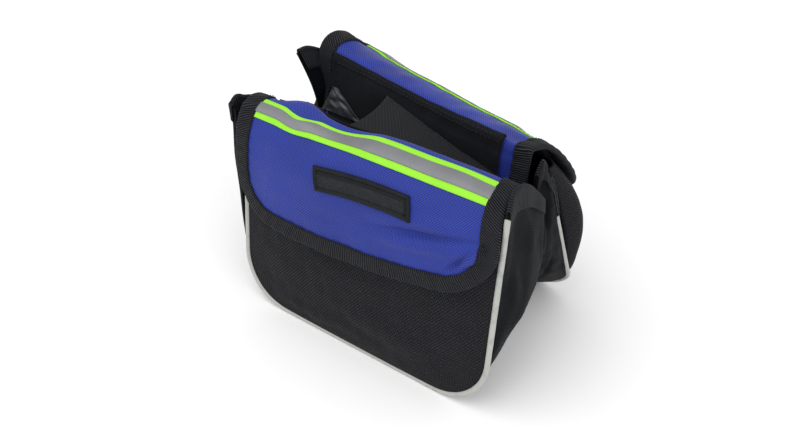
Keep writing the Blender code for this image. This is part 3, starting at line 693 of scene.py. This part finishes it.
def flapRelief(side, x, at):
    # the folds, short waves along the sewn edges that die out inward, and faint unevenness
    form = {"pucker": 0.00022, "reach": 0.010, "pitch": 0.0085, "uneven": 0.0004}
    s = lengthOf(side, at)
    low = lengthOf(side, freeAt(side, x))
    half = flapHalf() - np.abs(x)
    edge = np.clip(np.minimum(half, low - s), 0, None)
    pucker = form["pucker"] * np.exp(-edge / form["reach"]) * np.sin(
        2 * math.pi * np.where(half < low - s, s, x) / form["pitch"])
    fade = smoothStep((s + 0.030) / 0.015) * smoothStep(half / 0.012)
    seed = 5 if side == "front" else 9
    return foldHeight(x, s, flapFolds[side]) + pucker + fade * form["uneven"] * ripple(x, s, seed)


def plainFlap(side, x, at):
    # the section at x as a spline through its controls, placed on its pouch
    x, at = np.broadcast_arrays(np.asarray(x, float), np.asarray(at, float))
    depths, heights = foldControls(side, x.ravel())
    d = spline(depths, at.ravel()).reshape(x.shape)
    z = spline(heights, at.ravel()).reshape(x.shape)
    return place(side, x, d, z)


def flapPoint(side, x, at):
    # the plain section moved along its normal by the relief
    return lift(lambda a, b: plainFlap(side, a, b), x, at, flapRelief(side, x, at), 0.0005, 0.01,
                ways[side])


def flapLifted(side, x, at, height):
    # flapPoint plus height times its normal
    return lift(lambda a, b: flapPoint(side, a, b), x, at, height, 0.0006, 0.012, ways[side])


def flapHalf():
    # half the flap's length along the pouch
    return bag["width"] / 2 + flapTrim["overhang"]


def trimmed(side, x, at):
    # moves the ends in by their trims, which grow from the lower value to the one at the crest
    ends = np.where(x > 0, 2, 0)
    low, high = (np.array(pouchForm[side][key])[ends] * bag["width"] for key in ("trimLow", "trim"))
    first = flapTrim["trimFrom"]
    amount = low + (high - low) * smoothStep((at - first) / (crestAt - first))
    return x - np.sign(x) * amount * smoothStep(np.abs(x) / flapHalf())


def freeAt(side, x):
    # control number of the free edge at x
    height = byStation(flapForm[side]["freeEdge"], x) * bag["height"]
    ups = np.array([up for _, up in flapForm[side]["out"]]) * bag["height"]
    return np.interp(height, ups, np.arange(len(ups)))


def valleyEndAt():
    # control number of the flap's end in the valley
    return floorAt - flapTrim["valleyEnd"]


def flapGrid(side, u, v):
    # u across, v from the free edge to the valley by length; the lower corners are quarter circles
    corner = flapTrim["corner"]
    low = freeAt(side, u * flapHalf())
    lowLength, endLength = lengthOf(side, low), lengthOf(side, valleyEndAt())
    share = (v + 1) / 2
    share = share * 0.75 + 0.25 * share ** 2
    reach = (lowLength - endLength) * share
    at = atOf(side, lowLength - reach)
    cut = np.clip(corner - reach, 0, corner)
    return trimmed(side, u * (flapHalf() - corner + np.sqrt(corner ** 2 - cut ** 2)), at), at


def flapCloth(side):
    # the flap's grid from its valley end over the crest to its free edge
    obj = gridCloth(side + "FlapCloth", lambda u, v: flapPoint(side, *flapGrid(side, u, v)), 170, 130,
                    bag["cloth"])
    run = float(lengthOf(side, freeAt(side, 0.0)) - lengthOf(side, valleyEndAt()))
    dress(obj, "blue", [side + "_flap"])


def flapOutline(side, inset, steps):
    # the flap's edge moved inward: down one side, round the free edge and up the other side,
    # as x and control number, evenly spread over the outline's own length
    half, radius = flapHalf(), flapTrim["corner"]
    end = lengthOf(side, valleyEndAt())
    turn = np.linspace(0, math.pi / 2, 40)
    bottom = np.linspace(half - radius, -(half - radius), 90)[1:-1]
    inner = radius - inset
    cornerX = half - radius + inner * np.cos(turn)
    drop = inner - inner * np.sin(turn)

    def lengthAt(x, reach):
        return lengthOf(side, freeAt(side, x)) - inset - reach

    right, left = (np.linspace(end, float(lengthAt(np.array(x), inner)), 120)
                   for x in (half - inset, inset - half))
    x = np.concatenate([np.full(right.size, half - inset), cornerX[1:], bottom, -cornerX[:0:-1],
                        np.full(left.size, inset - half)])
    s = np.concatenate([right, lengthAt(cornerX[1:], drop[1:]), lengthAt(bottom, 0 * bottom),
                        lengthAt(-cornerX[:0:-1], drop[:0:-1]), left[::-1]])
    x = trimmed(side, x, atOf(side, s))
    run = summed(np.hypot(np.diff(x), np.diff(s)))
    even = np.linspace(0, run[-1], steps)
    return np.interp(even, run, x), atOf(side, np.interp(even, run, s))


def foldSection(width, slack, leg, outer, inner):
    # a tape folded over an edge: two legs and the half circle between them, as distances in
    # from the edge and heights over the middle of the cloth
    turn = np.linspace(0, math.pi, 9)
    insets = np.concatenate([np.linspace(width, 0, outer + 1)[:-1], -(slack + leg) * np.sin(turn),
                             np.linspace(0, width, inner + 1)[1:]])
    heights = np.concatenate([np.full(outer, leg), leg * np.cos(turn), np.full(inner, -leg)])
    return insets, heights


def flapBinding(side):
    # the folded section carried round the flap's outline, with a faint wobble of its legs
    form = bindingForm
    leg = bag["cloth"] / 2 + form["gap"] + form["wall"] / 2
    insets, heights = foldSection(form["width"], form["slack"], leg, 8, 6)
    heights[0] *= 0.75
    columns = []
    for inset, height in zip(insets, heights):
        x, at = flapOutline(side, inset, form["steps"])
        wobble = 0.00018 * np.sin(np.arange(form["steps"]) * 0.55) * np.sign(height) * (inset > 0.004)
        columns.append(flapLifted(side, x, at, height + wobble))
    points = np.stack(columns[::-1] if side == "front" else columns)
    dress(clothMesh(side + "FlapBinding", points, form["wall"]), "binding",
          [side + "_flap_binding"])
    x, at = flapOutline(side, form["width"] - form["stitchIn"], 700)
    level = leg + form["wall"] / 2
    stitchRow(side + "BindingStitches", lambda height: flapLifted(side, x, at, level + height),
              form["stitch"], "blackThread")


# Tapes along the crest. start is the distance from the crest to the near edge, and a dip is
# the place of its middle along the pouch, its reach each way and how far it moves the edge.
tapeForm = {
    "start": {"front": 0.0024, "rear": 0.0196}, "neonWidth": 0.0155, "silverWidth": 0.0078,
    "neonWall": 0.0006, "silverWall": 0.0004, "stitchIn": 0.0008, "stitch": (0.0030, 0.0022, 0.00014),
    "dip": {"front": ((-0.054, 0.014, 0.0034), (-0.040, 0.034, 0.0022), (-0.088, 0.022, -0.0020)),
            "rear": ((-0.086, 0.050, 0.0060),)},
}


def tapePlace(side, x, across):
    # distance from the crest of a point across the tape: its near edge wanders by the full dips
    # and its far edge by a quarter of them, where the cloth beneath is dented
    shift = sum(amount * hill((x - middle) / reach)
                for middle, reach, amount in tapeForm["dip"][side])
    return tapeForm["start"][side] + across + shift * (1 - 0.75 * across / tapeForm["neonWidth"])


def crestTape(side, look, first, width, height, wall):
    # a strip of the flap, first to first + width out from the tape's near edge, lifted off it
    margin = bindingForm["width"] - 0.0006

    def surface(u, v):
        across = first + width * (1 - v) / 2
        x = trimmed(side, u * (flapHalf() - margin), atOf(side, tapeForm["start"][side] + across))
        return flapLifted(side, x, atOf(side, tapePlace(side, x, across)), height)

    obj = gridCloth(side + look.capitalize() + "Tape", surface, 220, 16, wall)
    dress(obj, look, [side + "_" + look + "_tape"])


def crestTapes(side):
    # neon tape, silver tape on it and two rows of stitches along its edges
    form = tapeForm
    neonHeight = bag["cloth"] / 2 + bag["gap"] / 2 + form["neonWall"] / 2
    level = neonHeight + form["neonWall"] / 2
    crestTape(side, "neon", 0.0, form["neonWidth"], neonHeight, form["neonWall"])
    crestTape(side, "silver", (form["neonWidth"] - form["silverWidth"]) / 2, form["silverWidth"],
              level + bag["gap"] / 3 + form["silverWall"] / 2, form["silverWall"])
    half = bag["width"] / 2 - bindingForm["width"] - 0.001
    x = trimmed(side, np.linspace(-half, half, 500), atOf(side, form["start"][side]))
    for edge, inward in (("Near", form["stitchIn"]), ("Far", form["neonWidth"] - form["stitchIn"])):
        at = atOf(side, tapePlace(side, x, inward))
        stitchRow(side + "Tape" + edge + "Stitches",
                  lambda height: flapLifted(side, x, at, level + height), form["stitch"],
                  "greenThread")


# Pouch panels, gussets and piping

pipingForm = {"radius": 0.00170, "topRight": {"front": 0.965, "rear": 0.83}}
panelTop = 0.88          # hidden under the flap
panelFolds = {
    "front": ((-60, 40, 22, 16, 20, 1.2), (20, 30, 50, 12, -8, 1.4), (62, 26, 18, 24, 10, -1.2),
              (-10, 66, 46, 10, 4, -1.4), (70, 70, 16, 12, 0, 1.0), (-30, 14, 40, 8, 4, 0.9),
              (-74, 80, 10, 20, 0, -1.0)),
    "rear": ((-50, 60, 26, 20, 10, 2.0), (40, 70, 26, 22, -12, 1.8), (70, 40, 12, 30, 0, -1.6),
             (0, 36, 40, 12, 6, -1.6), (-20, 90, 40, 10, 0, 1.2), (60, 100, 16, 10, 20, -1.4)),
}


def outerPanel(side):
    # rows of the U's width at height z, set in by the belly and less the folds, which fade at
    # the seams; near the end seams the cloth bulges past them by the overhang
    inset = pipingForm["radius"] + 0.0001
    top = panelTop * bag["height"]

    def surface(u, v):
        z = inset + (top - inset) * ((v + 1) / 2) ** 1.25
        half = halfWidth(z, bag["width"] - 2 * inset, inset, bag["corner"] - inset)
        u = np.sign(u) * np.abs(u) ** 0.75
        near = np.clip((np.abs(u) - overhangForm["from"]) / (1 - overhangForm["from"]), 0, 1)
        x = u * half
        over = overhang(side, x, z) * 4 * near * (1 - near)
        edge = smoothStep((half - np.abs(x)) / 0.012) * smoothStep((z - inset) / 0.010)
        relief = foldHeight(x, z, panelFolds[side]) + 0.0005 * ripple(x, z, 21)
        return place(side, x + np.sign(u) * over, faceDepth(side, x, z) - relief * edge, z)

    dress(gridCloth(side + "OuterPanel", surface, 150, 100, 0.0012), "mesh",
          [side + "_outer_panel"])


def piping(side):
    # a cord along the seam, uneven by two slow waves, carried up at its right end
    x, _, z = seamPoint(side, np.linspace(0, 1, 420))
    rest = np.arange(z[-1] + 0.001, pipingForm["topRight"][side] * bag["height"], 0.001)
    x, z = np.concatenate([x, np.full(rest.size, x[-1])]), np.concatenate([z, rest])
    path = place(side, x, faceDepth(side, x, z), z)
    run = np.linspace(0, 1, len(path))
    radius = pipingForm["radius"] * (1 + 0.018 * np.sin(run * 95) + 0.011 * np.sin(run * 231))
    dress(tubeMesh(side + "Piping", path, radius, 16), "piping", [side + "_piping"])


def seamCover():
    # tape wound over the top of the rear piping's right end, swelling at its middle
    z = np.linspace(0.61, 0.86, 60) * bag["height"]
    x = np.full(z.size, bag["width"] / 2)
    path = place("rear", x, faceDepth("rear", x, z), z)
    run = np.linspace(0, 1, z.size)
    radius = 0.0021 + 0.0009 * np.sin(math.pi * run) + 0.0002 * np.sin(run * 40)
    dress(tubeMesh("rearSeamCover", path, radius, 20), "binding")


def innerPanel(side):
    # the U between the inner seams, with unevenness that only ever leans into the pouch
    inset = 0.0012
    foot = bag["innerRise"] + inset
    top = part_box(side + "_inner_panel")[1][2] - frameShift[2] - 0.0015

    def surface(u, v):
        wide = u * (bag["width"] / 2 - inset)
        z = foot + (top - foot) * (v + 1) / 2
        x = u * halfWidth(z, bag["width"] - 2 * inset, foot, bag["innerCorner"])
        relief = 0.0014 * ripple(x, z, 33 if side == "front" else 37) * hill(u) * hill(v)
        return place(side, x, of(side, "inner", wide) * bag["depth"] - np.abs(relief), z)

    dress(gridCloth(side + "InnerPanel", surface, 90, 40, bag["cloth"]), "saddle",
          [side + "_inner_panel"])


# Each end of a gusset: heights of its top edge from the outer to the inner seam as shares of
# the bag's height; flare outward, tuck inward halfway up and lean to the valley as shares of its
# depth; from is where they start, bend how they grow and sewn how soon they leave the seam.
gussetEnds = {
    ("front", "left"): {"top": (0.92, 0.95, 0.92, 0.89, 0.81, 0.74), "from": 0.10, "bend": 0.85,
                        "flare": 0.25, "tuck": 0.0, "lean": 0.0, "sewn": 0.07},
    ("front", "right"): {"top": (0.97, 1.02, 1.02, 0.98, 0.91, 0.84), "from": 0.48, "bend": 1.2,
                         "flare": -0.06, "tuck": 0.0, "lean": 0.02, "sewn": 0.30},
    ("rear", "left"): {"top": (0.80, 0.86, 0.92, 0.97, 1.01, 1.02), "from": 0.45, "bend": 1.0,
                       "flare": -0.14, "tuck": 0.24, "lean": 0.20, "sewn": 0.30},
    ("rear", "right"): {"top": (0.80, 0.84, 0.89, 0.95, 0.97, 0.90), "from": 0.48, "bend": 1.2,
                        "flare": 0.06, "tuck": 0.0, "lean": 0.0, "sewn": 0.30},
}
gussetForm = {"puff": 0.0065, "bottomPuff": 0.0052, "fadeFrom": 0.4, "fadeTo": 0.9,
              "length": 0.380, "flat": (0.392, 0.066), "start": 0.038,
              "tapeWidth": 0.0080, "tapeRun": 0.115 / 0.30}
# Folds of the gusset: share of its length, share across, reach along in mm, width in mm, turn in
# degrees and height in mm.
gussetFolds = {
    "front": ((0.80, 0.52, 26, 4.5, 8, -2.6), (0.79, 0.66, 24, 5, 8, 1.2),
              (0.95, 0.45, 10, 16, 30, -1.8), (0.90, 0.30, 16, 8, -20, 1.2),
              (0.06, 0.5, 20, 10, 0, -1.6), (0.16, 0.6, 24, 6, -8, -1.4),
              (0.5, 0.5, 70, 8, 0, -1.2), (0.36, 0.4, 26, 7, 20, 1.0), (0.64, 0.55, 26, 7, -16, 1.0)),
    "rear": ((0.80, 0.45, 26, 5, -8, -1.8), (0.93, 0.55, 14, 9, 25, -2.0),
             (0.88, 0.7, 16, 6, -20, 1.6), (0.06, 0.5, 20, 10, 0, -1.8),
             (0.14, 0.4, 24, 7, 10, 1.4), (0.5, 0.5, 70, 8, 0, -1.2), (0.3, 0.55, 24, 6, -14, -1.0)),
}


def gussetPoint(side, t, w):
    # ruled between the outer and the inner seam, t along them and w across, then puffed out
    # below and flared at its two ends
    t, w = np.broadcast_arrays(np.asarray(t, float), np.asarray(w, float))
    outerTop = bag["seamTop"] * bag["height"]
    ox, oz = seamPath(bag["width"], 0.0, bag["corner"], outerTop, t)
    ix, iz = seamPath(bag["width"], bag["innerRise"], bag["innerCorner"], bag["valley"], t)
    od, idepth = faceDepth(side, ox, oz), of(side, "inner", ix) * bag["depth"]
    x, z, d = ox + w * (ix - ox), oz + w * (iz - oz), od + w * (idepth - od)
    plainTop = outerTop + w * (bag["valley"] - outerTop)
    for sign, name in ((-1, "left"), (1, "right")):
        end = gussetEnds[(side, name)]
        base = end["from"] * bag["height"]
        heights = np.repeat(np.array(end["top"])[:, None], w.size, axis=1)
        top = spline(heights, w.ravel() * (len(heights) - 1)).reshape(w.shape) * bag["height"]
        up = np.where((np.sign(ox) == sign) & (z > base), (z - base) / (plainTop - base), 0.0)
        z = z + up * (top - plainTop)
        spread = up ** end["bend"] * end["flare"] - np.sin(math.pi * np.clip(up, 0, 1)) * end["tuck"]
        x = x + sign * spread * smoothStep(w / end["sewn"]) * bag["depth"]
        d = d + up ** 1.5 * w * end["lean"] * bag["depth"]
    low = np.clip((bag["corner"] - oz) / bag["corner"], 0, 1)
    outward = np.clip((np.abs(ox) - (bag["width"] / 2 - bag["corner"])) / bag["corner"], 0, 1)
    swell = np.sin(math.pi * np.clip(w, 0, 1))
    fadeFrom, fadeTo = gussetForm["fadeFrom"], gussetForm["fadeTo"]
    fade = np.clip((fadeTo - z / bag["height"]) / (fadeTo - fadeFrom), 0, 1)
    x = x + np.sign(ox) * outward * swell * fade * gussetForm["puff"]
    z = z - low * swell * gussetForm["bottomPuff"]
    return place(side, x, d, z)


def gussetRelief(side, t, w):
    # folds and unevenness that fade out at both seams
    run, across = t * gussetForm["length"], w * bag["depth"]
    folds = [(a * 1000 * gussetForm["length"], b * 1000 * bag["depth"], *rest)
             for a, b, *rest in gussetFolds[side]]
    seams = smoothStep(w / 0.12) * smoothStep((1 - w) / 0.10)
    uneven = 0.0008 * ripple(run, across, 41 if side == "front" else 43)
    return seams * (foldHeight(run, across, folds) + uneven)


def gussetLifted(side, t, w, height):
    # gussetPoint plus relief and height times its normal
    return lift(lambda a, b: gussetPoint(side, a, b), t, w, gussetRelief(side, t, w) + height,
                0.002, 0.01, -ways[side])


def gusset(side):
    # the U from one top end to the other by the way across the pouch's depth
    def surface(u, v):
        w = gussetForm["start"] + (1 - gussetForm["start"]) * (v + 1) / 2
        return gussetLifted(side, (u + 1) / 2, w, 0.0)

    dress(gridCloth(side + "Gusset", surface, 260, 48, bag["cloth"]), "nylon",
          [side + "_gusset"])


def gussetEdge(side, name):
    # tape folded over the top edge of a gusset's end
    leg = bag["cloth"] / 2 + bindingForm["gap"] / 2 + bindingForm["wall"] / 2
    w = np.linspace(0.05, 0.97, 90)
    columns = []
    for inset, height in zip(*foldSection(gussetForm["tapeWidth"], 0.0003, leg, 7, 5)):
        t = inset / gussetForm["tapeRun"]
        columns.append(gussetLifted(side, np.full_like(w, t if name == "left" else 1 - t), w, height))
    points = np.stack(columns[::-1] if (side == "front") == (name == "left") else columns)
    dress(clothMesh(side + name.capitalize() + "EdgeTape", points, bindingForm["wall"]), "binding")


# The cloths in the valley: ends along X as shares of half the width, and how far up the slopes
# they reach, 0 in the middle and 1 at the crest.
saddleForm = {"leftFront": -0.92, "leftRear": -0.96, "right": 0.53, "front": 0.72,
              "rearLeft": 0.85, "rearRight": 0.97, "gap": 0.0009, "hem": 0.125,
              "stitch": (0.0030, 0.0022, 0.00019)}
strapForm = {"left": -0.42, "leftLow": -0.60, "right": 0.56, "front": 0.38, "rearLeft": 0.70,
             "rearRight": 0.47, "sag": 0.30, "stitch": (0.0028, 0.0020, 0.00022)}


def valleyPoint(x, v):
    # middle surface of both flaps in the valley, x along the frame's X, v from crest to crest:
    # each place along a pouch is found from its X in three steps
    x, v = np.broadcast_arrays(np.asarray(x, float), np.asarray(v, float))
    points = {}
    for side in ways:
        at = floorAt + (crestAt - floorAt) * np.abs(v)
        along = x - frameShift[0]
        for _ in range(3):
            along = along + x - plainFlap(side, along, at)[..., 0]
        points[side] = flapPoint(side, along, at)
    return np.where((v < 0)[..., None], points["front"], points["rear"])


def valleyLifted(x, v, height):
    # valleyPoint plus height times its normal
    return lift(valleyPoint, x, v, height, 0.0005, 0.004)


def saddlePoint(u, v, height):
    # u across and v from the front to the rear edge, laid on the valley with low waves
    form = saddleForm
    slant = (form["leftRear"] - form["leftFront"]) * np.clip(v, 0, 1) ** 0.4
    left = (form["leftFront"] + slant) * bag["width"] / 2
    x = left + (form["right"] * bag["width"] / 2 - left) * (u + 1) / 2 + frameShift[0]
    rear = form["rearLeft"] + (form["rearRight"] - form["rearLeft"]) * (u + 1) / 2
    reach = np.where(v < 0, v * form["front"], v * rear)
    inner = hill(np.clip(np.abs(u), 0, 1)) * (1 - np.abs(v) ** 6)
    waves = 0.0007 * inner * (1 + ripple(x, v * 0.05, 55))
    return valleyLifted(x, reach, bag["cloth"] + form["gap"] + waves + height)


def saddlePanel():
    # the panel, its turned hem and two rows of stitches
    obj = gridCloth("saddlePanel", lambda u, v: saddlePoint(u, v, 0.0), 110, 90, bag["cloth"])
    dress(obj, "saddle", ["saddle_panel"])

    def hem(u, v):
        # the turned rear edge: v runs from the hem's inner edge to the cloth's own edge
        return saddlePoint(u * 0.995, 0.995 - saddleForm["hem"] * (1 - v) / 2,
                           bag["cloth"] / 2 + 0.0004 + 0.0002 * hill(v))

    dress(gridCloth("saddleHem", hem, 200, 8, 0.0007), "saddle")
    run = np.linspace(-0.985, 0.985, 260)
    for name, across in (("Upper", 0.955), ("Lower", 0.885)):
        v = np.full_like(run, across)
        stitchRow("saddle" + name + "Stitches", lambda height: saddlePoint(run, v, 0.0015 + height),
                  saddleForm["stitch"], "blackThread")


def strapPoint(u, v, height):
    # ruled from the front slope to the rear one, less a sag that grows with s (1 - s)
    form = strapForm
    lean = (form["leftLow"] - form["left"]) * (1 - (v + 1) / 2) ** 1.6
    left, right = (form["left"] + lean) * bag["width"] / 2, form["right"] * bag["width"] / 2
    x = left + (right - left) * (u + 1) / 2 + frameShift[0]
    slant = form["rearLeft"] + (form["rearRight"] - form["rearLeft"]) * (u + 1) / 2
    level = 2 * (bag["cloth"] + saddleForm["gap"])
    low = valleyLifted(x, np.full_like(v, -form["front"]), level)
    high = valleyLifted(x, slant, level)
    share = ((v + 1) / 2)[..., None]
    span = np.linalg.norm(high - low, axis=-1)[..., None]
    hang = form["sag"] * span * share * (1 - share)
    return low + (high - low) * share + (height - hang) * np.array((0, 0, 1.0))


def tubeStrap():
    # the strap's end with one row of stitches
    obj = gridCloth("tubeStrap", lambda u, v: strapPoint(u, v, 0.0), 90, 60, bag["cloth"])
    dress(obj, "strap", ["tube_strap"])
    run = np.linspace(-0.97, 0.97, 260)
    v = np.full_like(run, 0.90)
    stitchRow("strapStitches", lambda height: strapPoint(run, v, 0.0008 + height),
              strapForm["stitch"], "blackThread")


def liningTongue():
    # the coated back of the cloth turned up at the valley's left end: a crumpled triangle between
    # three places, each its X, share of the slope and height above the flaps
    places = ((-0.0690, 0.53, 0.0042), (-0.0440, 0.26, 0.0036), (-0.0745, 0.20, 0.0062))
    tip, right, left = (valleyLifted(np.array(x), np.array(v), height) for x, v, height in places)
    across = unit(np.cross(right - tip, left - tip))

    def surface(u, v):
        share, side = (0.10 + 0.90 * (v + 1) / 2)[..., None], ((u + 1) / 2)[..., None]
        fold = 0.5 + 0.5 * ripple(u * 0.012, v * 0.014, 71, waves=9, longest=0.020, shortest=0.007)
        plane = tip + share * (right + side * (left - right) - tip)
        return plane + across * (0.0010 * np.abs(fold))[..., None]

    dress(gridCloth("liningTongue", surface, 60, 60, 0.0006), "lining", ())


def labelPatch():
    # plate of even wall: a raised rim and a groove, each a hill of the distance to the outline
    form = labelForm

    def surface(u, v):
        x = form["x"] + u * form["length"] / 2 - form["slant"] * v
        s = form["down"] - v * form["height"] / 2 + form["tilt"] * u - form["arch"] * (1 - u ** 2)
        toEdge = np.minimum((1 - np.abs(u)) * form["length"], (1 - np.abs(v)) * form["height"]) / 2
        ridge = hill((toEdge - form["rim"]) / form["rimWidth"])
        ridge = ridge - 0.7 * hill((toEdge - form["groove"]) / form["grooveWidth"])
        rolled = form["roll"] * hill(toEdge / 0.0006)
        height = bag["cloth"] / 2 + bag["gap"] + form["wall"] / 2 + ridge * form["raise"] - rolled
        return flapLifted("front", x, atOf("front", s), height)

    dress(gridCloth("labelPatch", surface, 240, 90, form["wall"]), "rubber", ["label_patch"])


for side in ways:
    outerPanel(side)
    piping(side)
    innerPanel(side)
    gusset(side)
    for name in ("left", "right"):
        gussetEdge(side, name)
    print(side, "pouch made")
    flapCloth(side)
    flapBinding(side)
    crestTapes(side)
    print(side, "flap made")
seamCover()
liningTongue()
labelPatch()
saddlePanel()
tubeStrap()
print("valley made")

# Floor, light and camera

studio = {
    "floor": 6.0, "floorColour": (0.93, 0.93, 0.93, 1), "world": 0.84,
    "lights": {"keyLight": ((-0.35, -0.75, 1.6), 1.7, 14.0),        # place, size and power
               "fillLight": ((1.3, -0.5, 0.9), 1.2, 7.0)},
    "lightsAim": (0, 0, 0.07),
}
view = {"azimuth": math.radians(40.623), "elevation": math.radians(38.776), "distance": 0.595889,
        "along": 0.028228, "height": 0.112745, "lens": 50.0, "sensor": 36.0}


def floorPlane():
    # a pale square under the bag
    half = studio["floor"] / 2
    corners = np.array([(-half, -half, 0), (half, -half, 0), (half, half, 0), (-half, half, 0)], float)
    obj = setMesh("studioFloor", corners, np.array([[0, 1, 2, 3]]), corners[:, :2], smooth=False)
    obj.data.materials.append(ShaderBook("paleFloor").finish(studio["floorColour"], 0.9))


def softLight(name, place, size, power):
    # square area light turned to the bag
    data = bpy.data.lights.new(name, "AREA")
    data.size, data.energy = size, power
    obj = bpy.data.objects.new(name, data)
    obj.location = place
    aim = Vector(studio["lightsAim"]) - Vector(place)
    obj.rotation_euler = aim.to_track_quat("-Z", "Y").to_euler()
    bpy.context.scene.collection.objects.link(obj)


def photoCamera():
    # the photo's view
    data = bpy.data.cameras.new("photoCamera")
    data.lens, data.sensor_width = view["lens"], view["sensor"]
    obj = bpy.data.objects.new("photoCamera", data)
    turn = bag["pinch"]
    target = Vector((view["along"] * math.cos(turn), view["along"] * math.sin(turn) - halfSpread(),
                     view["height"])) + Vector(frameShift)
    back = Vector((math.sin(view["azimuth"]) * math.cos(view["elevation"]),
                   -math.cos(view["azimuth"]) * math.cos(view["elevation"]),
                   math.sin(view["elevation"])))
    obj.location = target + back * view["distance"]
    obj.rotation_euler = back.to_track_quat("Z", "Y").to_euler()
    bpy.context.scene.collection.objects.link(obj)
    bpy.context.scene.camera = obj


floorPlane()
for name, facts in studio["lights"].items():
    softLight(name, *facts)
world = bpy.data.worlds.new("studioWorld")
world.use_nodes = True
sky = world.node_tree.nodes["Background"].inputs
sky["Color"].default_value = (1, 1, 1, 1)
sky["Strength"].default_value = studio["world"]
bpy.context.scene.world = world
bpy.context.scene.view_settings.view_transform = "Standard"
photoCamera()
print("studio made")
